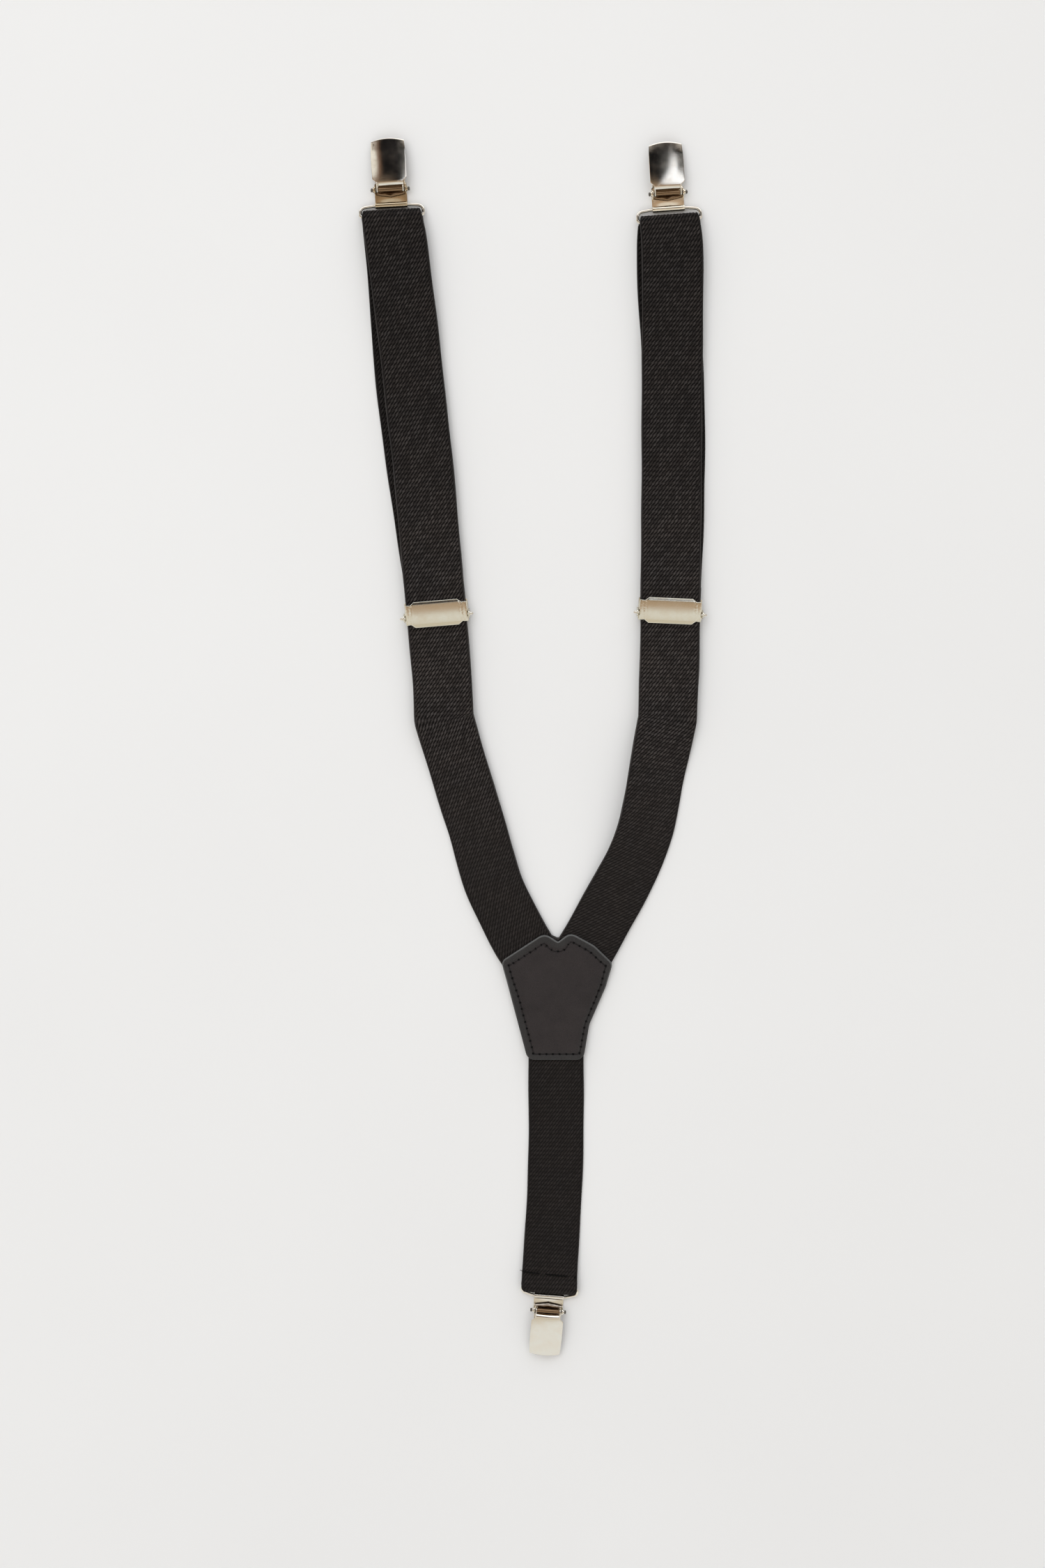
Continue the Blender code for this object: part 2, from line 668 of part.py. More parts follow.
def clip_lever(name, materials, parts, cutters, parent):
    """Crowned lever with two pivot ears, and a cam wall turned down at its hinge end."""
    plate_rows = 13
    span = LEVER_TIP_Y - LEVER_PLATE_Y
    rows = [*LEVER_CAM_WALL, (LEVER_PLATE_Y, LEVER_TOP_Z)]
    for step in range(1, plate_rows + 1):
        t = step / plate_rows
        rows.append((LEVER_PLATE_Y + span * t, LEVER_TOP_Z - (LEVER_TOP_Z - LEVER_TIP_Z) * t ** LEVER_BOW))

    def point_at(across, row):
        y, z = rows[row]
        on_plate = min(max((y - LEVER_SHOULDER_Y) / LEVER_CROWN_LENGTH, 0), 1)
        drop = LEVER_CROWN * across ** 2 * on_plate
        near_tip = max(0, (y - LEVER_TIP_CURVE_Y) / (LEVER_TIP_Y - LEVER_TIP_CURVE_Y))
        pull = LEVER_TIP_SAGITTA * across ** 2 * near_tip
        return (across * lever_half_width(y), y - pull, z - drop)

    lever = sheet(name, 10, len(rows) - 1, point_at, SHEET, materials["nickel"], parts, parent)
    for side, label in SIDE_LABELS:
        ear = side_plate(f"{name}_ear_{label}", rounded(LEVER_EAR), side * LEVER_EAR_X, SHEET,
                         materials["nickel"], cutters, parent)
        as_cutter(ear)
        combine(lever, ear, "UNION")
    hole = cross_cylinder(f"{name}_pin_hole", PIN_RADIUS + GAP, HOLE_HALF_LENGTH, PIN_Y, PIN_Z, cutters,
                          parent, materials["nickel"])
    as_cutter(hole)
    combine(lever, hole, "DIFFERENCE")
    set_origin(lever, (0, PIN_Y, PIN_Z))
    return lever


def clip_pin(name, materials, collection, parent):
    head_start = BASE_HALF_WIDTH + GAP
    half = PIN_HALF_LENGTH
    profile = [(half, 0), (half, PIN_HEAD_RADIUS * PIN_HEAD_FLAT), (half - PIN_HEAD_CHAMFER, PIN_HEAD_RADIUS),
               (head_start, PIN_HEAD_RADIUS), (head_start, PIN_RADIUS)]
    profile += [(-height, radius) for height, radius in reversed(profile)]
    return turned_pin(name, profile, PIN_Y, PIN_Z, materials["nickel"], collection, parent)


def clip(side, place, loop_half_width, materials, parts, cutters):
    frame = frame_at(f"{side}_clip_frame", place, parts)
    wire_loop(f"{side}_wire_loop", loop_half_width, materials, parts, frame)
    clip_base(f"{side}_clip_base", materials, parts, cutters, frame)
    clip_jaw(f"{side}_clip_jaw", materials, parts, frame)
    clip_lever(f"{side}_clip_lever", materials, parts, cutters, frame)
    clip_pin(f"{side}_clip_pin", materials, parts, frame)


def box_outline(half_width, low_y, high_y, radius, steps):
    """A rounded rectangle that is centred in x."""
    corners = [(-half_width, low_y), (half_width, low_y), (half_width, high_y), (-half_width, high_y)]
    return rounded([(x, y, radius) for x, y in corners], steps)


def adjuster_frame(name, materials, parts, cutters, parent):
    """Flat plate with a slot for the strap's end, and an ear at each side for the rod."""
    outline = box_outline(FRAME_HALF_WIDTH, FRAME_LOW_Y, FRAME_HIGH_Y, FRAME_CORNER_RADIUS, 3)
    frame = plate(name, outline, FRAME_BOTTOM, FRAME_SHEET, materials["nickel"], parts, parent)
    opening = box_outline(SLOT_HALF_WIDTH, SLOT_LOW_Y, BAR_EDGE_Y, SLOT_CORNER_RADIUS, 2)
    slot = plate(f"{name}_slot", opening, FRAME_BOTTOM - 1, FRAME_SHEET + 2, materials["nickel"], cutters,
                 parent)
    as_cutter(slot)
    combine(frame, slot, "DIFFERENCE")
    foot = FRAME_BOTTOM + 0.05
    low_y = ROD_Y - FRAME_EAR_FOOT
    high_y = ROD_Y + FRAME_EAR_FOOT
    top_z = ROD_Z + FRAME_EAR_ABOVE_ROD
    ear_outline = rounded([(low_y, foot, 0.1), (high_y, foot, 0.1), (ROD_Y + FRAME_EAR_TOP, top_z, 1.2),
                           (ROD_Y - FRAME_EAR_TOP, top_z, 1.2)])
    arm_outline = [(low_y, foot), (high_y, foot), (high_y, foot + FRAME_ARM_HEIGHT),
                   (low_y, foot + FRAME_ARM_HEIGHT)]
    for side, label in SIDE_LABELS:
        arm = side_plate(f"{name}_arm_{label}", arm_outline, side * FRAME_ARM_X, FRAME_ARM_WIDTH,
                         materials["nickel"], cutters, parent)
        ear = side_plate(f"{name}_ear_{label}", ear_outline, side * FRAME_EAR_X, SHEET,
                         materials["nickel"], cutters, parent)
        for joined in (arm, ear):
            as_cutter(joined)
            combine(frame, joined, "UNION")
    hole = cross_cylinder(f"{name}_rod_hole", ROD_RADIUS + GAP, ROD_HOLE_HALF_LENGTH, ROD_Y, ROD_Z, cutters,
                          parent, materials["nickel"])
    as_cutter(hole)
    combine(frame, hole, "DIFFERENCE")
    return frame


def adjuster_rod(name, materials, collection, parent):
    profile = ROD_PROFILE + [(-height, radius) for height, radius in reversed(ROD_PROFILE)]
    return turned_pin(name, profile, ROD_Y, ROD_Z, materials["nickel"], collection, parent)


def adjuster_cover(name, materials, parts, cutters, parent):
    """Chamfered plate with side tabs bent down to the rod, and a toothed lip along its upper edge."""
    middle_z = COVER_BOTTOM + COVER_SHEET / 2
    columns = [(-COVER_WALL_X, COVER_WALL_LOW_Z), (-COVER_WALL_X, COVER_WALL_HIGH_Z),
               (-COVER_WALL_X + 0.25, middle_z - 0.35), (-COVER_TAB_X, middle_z), (-COVER_FIELD_X, middle_z),
               (-COVER_CHAMFER_X, middle_z), (-COVER_CHAMFER_X / 2, middle_z)]
    columns += [(0, middle_z)] + [(-x, z) for x, z in reversed(columns)]
    last = len(columns) - 1
    rows = (-1, -0.5, 0, 0.5, 1)

    def point_at(across, row):
        x, z = columns[round((across + 1) / 2 * last)]
        reach = COVER_HALF_HEIGHT if abs(x) <= COVER_CHAMFER_X else COVER_TAB_HALF_HEIGHT
        if abs(x) == COVER_FIELD_X:
            reach = COVER_HALF_HEIGHT - COVER_CHAMFER
        return (x, rows[row] * reach, z)

    cover = sheet(name, last, len(rows) - 1, point_at, COVER_SHEET, materials["nickel"], parts, parent)
    lip_bottom = STRAP_IN_FRAME_TOP + GAP
    lip = [(-LIP_HALF_WIDTH, middle_z), (-LIP_HALF_WIDTH, lip_bottom + LIP_ROOT)]
    for tooth in range(LIP_TEETH):
        x = LIP_HALF_WIDTH * ((2 * tooth + 1) / LIP_TEETH - 1)
        lip.append((x, lip_bottom + (TOOTH_TIP if tooth % 2 else TOOTH_VALLEY)))
    lip += [(LIP_HALF_WIDTH, lip_bottom + LIP_ROOT), (LIP_HALF_WIDTH, middle_z)]
    edge = plate(f"{name}_lip", lip, -COVER_SHEET / 2, COVER_SHEET, materials["nickel"], cutters, parent)
    edge.data.transform(Matrix(((1, 0, 0, 0), (0, 0, -1, LIP_Y * MM), (0, 1, 0, 0), (0, 0, 0, 1))))
    as_cutter(edge)
    combine(cover, edge, "UNION")
    hole = cross_cylinder(f"{name}_rod_hole", ROD_RADIUS + GAP, ROD_HOLE_HALF_LENGTH, ROD_Y, ROD_Z, cutters,
                          parent, materials["nickel"])
    as_cutter(hole)
    combine(cover, hole, "DIFFERENCE")
    set_origin(cover, (0, ROD_Y, ROD_Z))
    return cover


def adjuster(side, place, materials, parts, cutters):
    frame = frame_at(f"{side}_adjuster_place", place, parts)
    adjuster_frame(f"{side}_adjuster_frame", materials, parts, cutters, frame)
    adjuster_rod(f"{side}_adjuster_rod", materials, parts, frame)
    adjuster_cover(f"{side}_adjuster_cover", materials, parts, cutters, frame)


def patch(materials, collection):
    """Two leather layers round the strap ends, and the seam that closes them."""
    outline = rounded(PATCH_OUTLINE)
    front_bottom = PATCH_BACK_THICKNESS + WEB_THICKNESS + 2 * GAP
    plate("patch_back", outline, 0, PATCH_BACK_THICKNESS, materials["leather"], collection)
    plate("patch_front", outline, front_bottom, PATCH_FRONT_THICKNESS, materials["leather"], collection)
    height = front_bottom + PATCH_FRONT_THICKNESS + GAP + THREAD_RADIUS
    seam = [(x, y, height) for x, y in inset(rounded(PATCH_OUTLINE, 4), STITCH_INSET)]
    wire("patch_thread", seam, THREAD_RADIUS, True, materials["thread"], collection)


def back_seam(materials, collection):
    """The hem's seam, across the top of the back strap."""
    half = BACK_WIDTH / 2 - HEM_SEAM_MARGIN
    steps = 8
    seam = []
    for step in range(steps + 1):
        x = half * (2 * step / steps - 1)
        seam.append((HEM_SEAM_MIDDLE_X + x, BACK_SEAM_Y + HEM_SEAM_SLANT * x, HEM_SEAM_HEIGHT))
    wire("back_seam_thread", seam, THREAD_RADIUS, False, materials["thread"], collection)


def main():
    clear_scene()
    parts = make_collection("suspenders")
    cutters = make_collection("cutters")
    materials = {name: make_material(name) for name in MATERIALS}
    webbing = materials["webbing"]
    front_strap("left_front_strap", LEFT_UPPER, LEFT_LOWER, LEFT_CLIP, -1, webbing, parts)
    front_strap("right_front_strap", RIGHT_UPPER, RIGHT_LOWER, RIGHT_CLIP, 1, webbing, parts)
    strap_return("left_strap_return", LEFT_RETURN, LEFT_CLIP, LEFT_ADJUSTER, webbing, parts)
    strap_return("right_strap_return", RIGHT_RETURN, RIGHT_CLIP, RIGHT_ADJUSTER, webbing, parts)
    back_strap("back_strap", BACK_CLIP, webbing, parts)
    patch(materials, parts)
    back_seam(materials, parts)
    clip("left", LEFT_CLIP, FRONT_LOOP_HALF_WIDTH, materials, parts, cutters)
    clip("right", RIGHT_CLIP, FRONT_LOOP_HALF_WIDTH, materials, parts, cutters)
    clip("back", BACK_CLIP, BACK_LOOP_HALF_WIDTH, materials, parts, cutters)
    adjuster("left", LEFT_ADJUSTER, materials, parts, cutters)
    adjuster("right", RIGHT_ADJUSTER, materials, parts, cutters)


main()
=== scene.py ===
import math

import bmesh
import bpy
import numpy as np
from mathutils import Matrix, Vector, geometry, noise


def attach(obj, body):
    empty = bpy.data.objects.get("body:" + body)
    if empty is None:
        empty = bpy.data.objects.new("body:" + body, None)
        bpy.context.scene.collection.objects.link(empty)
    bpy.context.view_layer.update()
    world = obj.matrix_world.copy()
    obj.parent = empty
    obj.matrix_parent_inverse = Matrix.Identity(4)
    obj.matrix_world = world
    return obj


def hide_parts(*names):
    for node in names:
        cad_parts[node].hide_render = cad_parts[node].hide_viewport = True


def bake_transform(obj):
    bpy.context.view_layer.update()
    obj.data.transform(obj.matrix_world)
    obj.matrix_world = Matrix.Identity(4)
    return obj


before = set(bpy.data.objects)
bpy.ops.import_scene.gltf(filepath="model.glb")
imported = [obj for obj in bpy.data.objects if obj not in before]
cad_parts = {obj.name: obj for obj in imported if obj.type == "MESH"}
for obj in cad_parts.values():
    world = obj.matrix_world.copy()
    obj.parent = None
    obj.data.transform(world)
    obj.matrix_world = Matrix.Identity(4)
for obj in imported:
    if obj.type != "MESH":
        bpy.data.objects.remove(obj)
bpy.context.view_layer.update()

MM = 0.001

# Webbing, in millimetres as in the CAD source
WEB_THICKNESS = 1.3
FRONT_WIDTH = 34.8
BACK_WIDTH = 33.4
FOLD_WIDTH = 34.3
FOLD_RADIUS = 2.65
FOLD_SLACK = {"left": 1.2, "right": 0.5, "back": 1.3}
GAP = 0.3
RIB_PITCH = 1.56
WEFT_PITCH = 2.72
RIB_ANGLE = math.radians(54)
RIB_RISE = 0.12
RIB_SHARE = 0.51
WEFT_SHARE = 0.27
CROSSING_SHARE = 0.22
SELVAGE_RADIUS = 0.7
SELVAGE_WIDTH = 2.6
# Where the painted sheen on the webbing is brightest in y, and how far it reaches
SHEEN_MIDDLE_Y = 60
SHEEN_REACH = 130
CURVE_STEPS = 14
FOLD_PINCH = {"front": 1.9, "back": 4.0}
HEM_TAPER = 2.6

# Clips and loops
WIRE_RADIUS = 0.9
FRONT_LOOP_HALF_WIDTH = 17.8
BACK_LOOP_HALF_WIDTH = 16.9
LOOP_LENGTH = 7.3
BAR_HEIGHT = WEB_THICKNESS / 2 + FOLD_RADIUS
BARREL_RADIUS = 1.5
SHEET = 0.6
BARREL_HEIGHT = BARREL_RADIUS + SHEET / 2
BAR_REACH = math.sqrt(LOOP_LENGTH ** 2 - (BAR_HEIGHT - BARREL_HEIGHT) ** 2)
JAW_HALF_WIDTH = 9.05
JAW_EAR_X = 8.65
PIN_HOLE_RADIUS = 0.9
PIN_Y = 8.3
PIN_Z = 4.9
LEVER_START_Y = 12.0
LEVER_TIP_Y = 36.3
LEVER_TOP = 7.45
LEVER_HALF_WIDTH = 9.75
LEVER_NECK_HALF_WIDTH = 7.7
LEVER_EAR_X = 7.3

# Adjusters
ROD_Y = -1.7
ROD_Z = 6.5
FRAME_SHEET = 0.8
BAR_EDGE_Y = 3.0
TAIL_LENGTH = 11.0
COVER_HALF_LENGTH = 7.5
COVER_UNDERSIDE = 7.4
COVER_BEND_X = 16.8
COVER_BEND_RADIUS = 0.9
COVER_CROWN = 0.34
COVER_TOP_LIMIT = 8.18
LIP_HALF_WIDTH = 12.0
LIP_TEETH = 24

# Patch
PATCH_MIDDLE_X = 13.5
STITCH_INSET = 3.6
STITCH_PITCH = 4.0
STITCH_GAP = 0.55
SEAM_STEP = 0.15
# Radius of the painted shade disc at each needle hole
HOLE_SHADE_RADIUS = 0.58
PATCH_UNDERSIDE = 3.0
PATCH_SAG = 1.15
PATCH_THICKNESS = 1.2
HEM_STITCHES = 13

PLACES = {
    "left_adjuster": (-57.5, 96.5, 4.74), "right_adjuster": (78.3, 98.0, -2.5),
    "left_clip": (-81.5, 326.7, 3.0), "right_clip": (75.0, 324.7, 4.0), "back_clip": (8.85, -323.4, 175.5),
}

# Centre lines: x, y, height of the underside, tilt in degrees that lifts the +X edge
LEFT_UPPER = [
    (-78.7, 305.4, 6.3, 0), (-74.8, 274.5, 5.6, 0), (-71.2, 243.4, 4.2, 0), (-67.7, 208.9, 4.1, 0),
    (-65.0, 186.0, 4.3, 0), (-63.5, 168.4, 4.3, 0), (-59.5, 120.2, 4.3, 0), (-55.5, 72.0, 4.3, 0),
    (-54.2, 54.0, 4.3, 0), (-53.5, 34.6, 4.6, 0),
]
LEFT_LOWER = [
    (-53.5, 34.6, 4.6, 0), (-48.9, 18.1, 2.9, 2), (-44.1, 1.5, 1.9, 4), (-39.2, -15.2, 1.5, 4),
    (-34.1, -31.9, 1.4, 4), (-29.6, -48.8, 1.5, 4), (-24.5, -65.7, 1.5, 3), (-16.8, -82.6, 1.4, 1),
    (-8.5, -99.0, 1.4, 0), (0.5, -113.5, 1.4, 0),
]
RIGHT_UPPER = [
    (77.0, 303.5, 6.3, 0), (77.6, 274.5, 5.6, 0), (77.8, 243.4, 4.2, 0), (78.0, 208.0, 4.1, 0),
    (78.2, 186.0, 4.3, 0), (78.3, 168.4, 4.3, 0), (78.3, 120.2, 4.3, 0), (78.3, 72.0, 4.3, 0),
    (77.8, 54.0, 4.3, 0), (77.4, 34.6, 4.6, -2),
]
RIGHT_LOWER = [
    (77.4, 34.6, 4.6, -2), (74.3, 18.1, 4.4, -9), (71.2, 1.5, 4.6, -14), (68.4, -15.2, 4.8, -15),
    (64.9, -31.9, 4.6, -14), (59.1, -48.8, 3.4, -10), (51.1, -65.7, 2.1, -5), (42.1, -82.6, 1.5, -1),
    (33.5, -99.0, 1.4, 0), (25.3, -113.0, 1.4, 0),
]
LEFT_RETURN = [
    (-79.6, 304.0, 0, 0), (-77.2, 274.5, 0, 0), (-75.5, 243.4, 0, 0), (-72.1, 208.9, 0, 0),
    (-66.8, 168.4, 0, 0), (-62.8, 140.4, 0, 0), (-59.4, 120.0, 0, 0),
]
RIGHT_RETURN = [
    (74.6, 304.0, 0, 0), (75.7, 274.5, 0, 0), (78.1, 243.4, 0, 0), (79.9, 208.0, 0, 0),
    (80.2, 168.0, 0, 0), (79.9, 140.0, 0, 0), (79.3, 120.0, 0, 0),
]
BACK_RUN = [
    (12.8, -127.5, 1.4, 0), (12.9, -150.0, 1.4, 0), (12.7, -177.3, 1.3, 0), (12.9, -203.5, 0, 0),
    (12.8, -229.9, 0, 0), (12.0, -256.4, 0, 0), (10.6, -283.2, 0.5, 0), (9.6, -300.0, 1.7, 0),
    (9.1, -309.0, 2.6, 0),
]
BACK_TAIL_Y = -304.5
BACK_SEAM = (9.2, -308.6, -0.11)
PATCH_OUTLINE = [
    (13.7, -99.9, 1.0), (5.6, -94.4, 6.0), (-20.2, -111.6, 4.0), (-4.4, -172.6, 5.5),
    (29.0, -172.6, 5.0), (32.6, -151.0, 12.0), (42.4, -127.5, 25.0), (46.4, -112.9, 4.0),
    (35.6, -102.2, 14.0), (21.0, -94.0, 6.0),
]


# ---------------------------------------------------------------- materials

class Nodes:
    """Short calls for the nodes of one tree."""

    def __init__(self, tree):
        self.tree = tree

    def add(self, kind, **settings):
        node = self.tree.nodes.new("ShaderNode" + kind)
        for key, value in settings.items():
            setattr(node, key, value)
        return node

    def put(self, socket, value):
        if isinstance(value, bpy.types.NodeSocket):
            self.tree.links.new(value, socket)
        elif socket.type == "RGBA":
            socket.default_value = (*value[:3], 1)
        else:
            socket.default_value = value

    def fed(self, kind, *values, **settings):
        """First output of a new node that takes these values in the order of its inputs."""
        node = self.add(kind, **settings)
        for socket, value in zip(node.inputs, values):
            self.put(socket, value)
        return node.outputs[0]

    def maths(self, operation, *values, clamp=False):
        return self.fed("Math", *values, operation=operation, use_clamp=clamp)

    def plus(self, first, second, clamp=False):
        return self.maths("ADD", first, second, clamp=clamp)

    def minus(self, first, second):
        return self.maths("SUBTRACT", first, second)

    def times(self, first, second):
        return self.maths("MULTIPLY", first, second)

    def ratio(self, first, second):
        return self.maths("DIVIDE", first, second)

    def squared(self, value):
        return self.maths("POWER", value, 2)

    def parts(self, vector):
        """The x, y and z of a vector."""
        node = self.add("SeparateXYZ")
        self.put(node.inputs[0], vector)
        return list(node.outputs)

    def spread(self, factor, low, high, new_low, new_high, **settings):
        """The range from low to high mapped onto a new one, whose ends hold beyond it."""
        return self.fed("MapRange", factor, low, high, new_low, new_high, **settings)

    def mix(self, factor, first, second, blend="MIX"):
        return self.fed("MixRGB", factor, first, second, blend_type=blend)


class Surface(Nodes):
    """One material; its places are in millimetres."""

    def __init__(self, name):
        self.material = bpy.data.materials.new(name)
        self.material.use_nodes = True
        super().__init__(self.material.node_tree)
        self.shader = self.tree.nodes["Principled BSDF"]

    def set(self, **values):
        for key, value in values.items():
            self.put(self.shader.inputs[key.replace("_", " ")], value)

    def vector(self, source, scale=(1, 1, 1), turn=0.0):
        node = self.add("Mapping")
        self.put(node.inputs["Vector"], source)
        node.inputs["Scale"].default_value = scale
        node.inputs["Rotation"].default_value = (0, 0, turn)
        return node.outputs[0]

    def object_mm(self):
        return self.vector(self.add("TexCoord").outputs["Object"], (1000, 1000, 1000))

    def noise(self, place, scale, detail=3.0, roughness=0.55):
        node = self.add("TexNoise")
        self.put(node.inputs["Vector"], place)
        node.inputs["Scale"].default_value = scale
        node.inputs["Detail"].default_value = detail
        node.inputs["Roughness"].default_value = roughness
        return node.outputs[0]

    def ramp(self, factor, stops):
        node = self.add("ValToRGB")
        self.put(node.inputs[0], factor)
        elements = node.color_ramp.elements
        while len(elements) < len(stops):
            elements.new(0.5)
        for element, (place, colour) in zip(elements, stops):
            element.position = place
            element.color = (*colour, 1)
        return node.outputs[0]

    def tinted(self, first, second):
        return self.mix(1.0, first, second, "MULTIPLY")

    def bump(self, height, distance, strength=1.0, under=None):
        node = self.add("Bump")
        node.inputs["Strength"].default_value = strength
        node.inputs["Distance"].default_value = distance * MM
        self.put(node.inputs["Height"], height)
        if under is not None:
            self.put(node.inputs["Normal"], under)
        return node.outputs[0]


def webbing_material():
    """Black twill: steep ribs, weft rows, finer yarns and a plain selvage, with painted rim highlight,
    under-layer shade and sheen.
    """
    s = Surface("webbing_twill")
    flat = s.vector(s.add("UVMap", uv_map="weave").outputs["UV"], (1000, 1000, 1000))
    ribs = s.vector(flat, turn=-RIB_ANGLE)
    across, ahead, _ = s.parts(flat)
    shift = s.times(s.minus(s.noise(flat, 0.45, 2.0), 0.5), 0.45)
    rib = s.ratio(s.plus(s.parts(ribs)[1], shift), RIB_PITCH)
    rib_number = s.maths("FLOOR", rib)
    chance = s.add("TexWhiteNoise", noise_dimensions="1D")
    s.put(chance.inputs["W"], rib_number)
    weft = s.ratio(s.plus(ahead, shift), WEFT_PITCH)
    weft = s.plus(weft, s.times(chance.outputs["Value"], 0.16))

    def hump(value):
        """0 where the value is whole, 1 halfway between."""
        return s.squared(s.maths("SINE", s.times(s.maths("FRACT", value), math.pi)))

    height = s.plus(s.times(hump(rib), RIB_SHARE), s.times(hump(weft), WEFT_SHARE))
    height = s.plus(height, s.times(hump(s.plus(rib, weft)), CROSSING_SHARE))
    height = s.spread(height, 0.28, 0.88, 0, 1)
    cell = s.fed("CombineXYZ", rib_number, s.maths("FLOOR", weft))
    each = s.fed("TexWhiteNoise", cell, noise_dimensions="2D")
    yarn = s.noise(s.vector(ribs, (1.5, 2.6, 1)), 1.0, 2.0, 0.7)
    fuzz = s.noise(flat, 1.5, 1.0, 0.6)
    light = s.times(height, s.spread(each, 0, 1, 0.72, 1.28))
    light = s.times(light, s.spread(yarn, 0.3, 0.7, 0.6, 1.4))
    light = s.plus(light, s.spread(fuzz, 0.3, 0.7, -0.15, 0.15), clamp=True)

    # The weave shows less towards the patch and beyond it
    _, y, z = s.parts(s.object_mm())
    light = s.mix(s.spread(y, -60, 30, 0.42, 0.0), light, (0.46, 0.46, 0.46))
    tone = s.ramp(light, [(0.0, (0.0026, 0.0020, 0.0019)), (0.35, (0.0112, 0.0095, 0.0089)),
                          (0.75, (0.0262, 0.0228, 0.0215)), (1.0, (0.047, 0.042, 0.040))])

    # A plain selvage, and a lighter rim along its edge: a painted highlight
    from_middle = s.maths("ABSOLUTE", across)
    tone = s.mix(s.spread(from_middle, 15.9, 16.5, 0, 0.85), tone, (0.0095, 0.0082, 0.0079))
    tone = s.mix(s.spread(from_middle, 16.75, 17.0, 0, 0.85), tone, (0.040, 0.037, 0.036))

    # The layer under the front straps lies in shade
    tone = s.tinted(tone, s.maths("MAXIMUM", s.spread(z, 2.4, 4.2, 0.66, 1), s.spread(y, 95, 130, 1, 0)))
    drift = s.ramp(s.noise(flat, 0.035, 3.0, 0.6),
                   [(0.3, (0.92, 0.94, 0.97)), (0.5, (1.0, 1.0, 1.0)), (0.7, (1.07, 1.04, 1.02))])
    # The straps brighten round a middle place in y and less further off: a painted sheen
    reach = s.squared(s.ratio(s.minus(y, SHEEN_MIDDLE_Y), SHEEN_REACH))
    painted_sheen = s.plus(s.times(s.maths("POWER", math.e, s.times(reach, -1)), 0.55), 1)
    s.set(Base_Color=s.tinted(s.tinted(tone, drift), painted_sheen))
    s.set(Roughness=s.spread(yarn, 0.2, 0.8, 0.62, 0.86), Specular_IOR_Level=0.10)
    s.set(Sheen_Weight=0.02, Sheen_Roughness=0.45, Sheen_Tint=(0.75, 0.72, 0.70))
    s.set(Normal=s.bump(yarn, 0.07, 0.8, s.bump(height, 0.22)))
    return s.material


def leather_material(name, centre, border, rim_highlight_colour):
    """Grained leather; the mesh attribute inset is the distance from the cut edge in millimetres."""
    s = Surface(name)
    place = s.object_mm()
    cells = s.add("TexVoronoi", feature="DISTANCE_TO_EDGE")
    s.put(cells.inputs["Vector"], place)
    cells.inputs["Scale"].default_value = 1.25
    pebble = s.spread(cells.outputs["Distance"], 0.0, 0.22, 0.0, 1.0)
    fine = s.noise(place, 3.2, 4.0, 0.65)
    slow = s.noise(place, 0.09, 3.0)
    inset = s.add("Attribute", attribute_name="inset").outputs["Fac"]
    hole = s.add("Attribute", attribute_name="hole").outputs["Fac"]
    ragged = s.plus(inset, s.spread(slow, 0, 1, -0.5, 0.5))
    body = s.mix(s.spread(ragged, 3.0, 5.2, 0, 1), border, centre)
    y = s.parts(place)[1]
    # A lighter rim along the cut edge, fading towards the bottom: a painted highlight where the edge catches
    # the light
    painted_edge_highlight = s.times(s.spread(ragged, 0.45, 0.95, 1, 0), s.spread(y, -150, -105, 0.15, 1))
    # Near black at the needle holes: painted shade in the holes
    tone = s.mix(hole, s.mix(painted_edge_highlight, body, rim_highlight_colour), (0.0035, 0.0032, 0.0032))
    grain = s.ramp(s.times(pebble, s.spread(fine, 0.3, 0.7, 0.75, 1.0)),
                   [(0.0, (0.72, 0.72, 0.73)), (1.0, (1.08, 1.07, 1.06))])
    cloud = s.ramp(slow, [(0.3, (0.88, 0.88, 0.89)), (0.7, (1.12, 1.12, 1.11))])
    s.set(Base_Color=s.tinted(s.tinted(tone, grain), cloud))
    s.set(Roughness=s.spread(fine, 0.25, 0.75, 0.50, 0.68), Specular_IOR_Level=0.28)
    s.set(Normal=s.bump(fine, 0.05, 0.7, s.bump(pebble, 0.07, 0.8)))
    return s.material


def metal_material(name, colour, low, high, tint=(1.0, 0.93, 0.86)):
    """Plated sheet metal with handling smudges, fine scratches and a slightly uneven plating colour."""
    s = Surface(name)
    place = s.object_mm()
    smudge = s.noise(place, 0.16, 4.0, 0.62)
    speck = s.noise(place, 2.4, 3.0, 0.7)
    scratch = s.noise(s.vector(place, (0.35, 5.0, 1.0), 0.5), 1.0, 3.0, 0.7)
    warm = s.mix(s.spread(smudge, 0.35, 0.7, 0, 0.5), colour, tuple(c * t for c, t in zip(colour, tint)))
    pit = s.ramp(speck, [(0.18, (0.88, 0.87, 0.85)), (0.34, (1.0, 1.0, 1.0))])
    s.set(Base_Color=s.tinted(warm, pit), Metallic=1.0)
    s.set(Roughness=s.plus(s.spread(smudge, 0.3, 0.75, low, high), s.spread(scratch, 0.5, 0.8, 0, 0.05)))
    s.set(Normal=s.bump(scratch, 0.006, 0.5, s.bump(speck, 0.012, 0.5)))
    return s.material


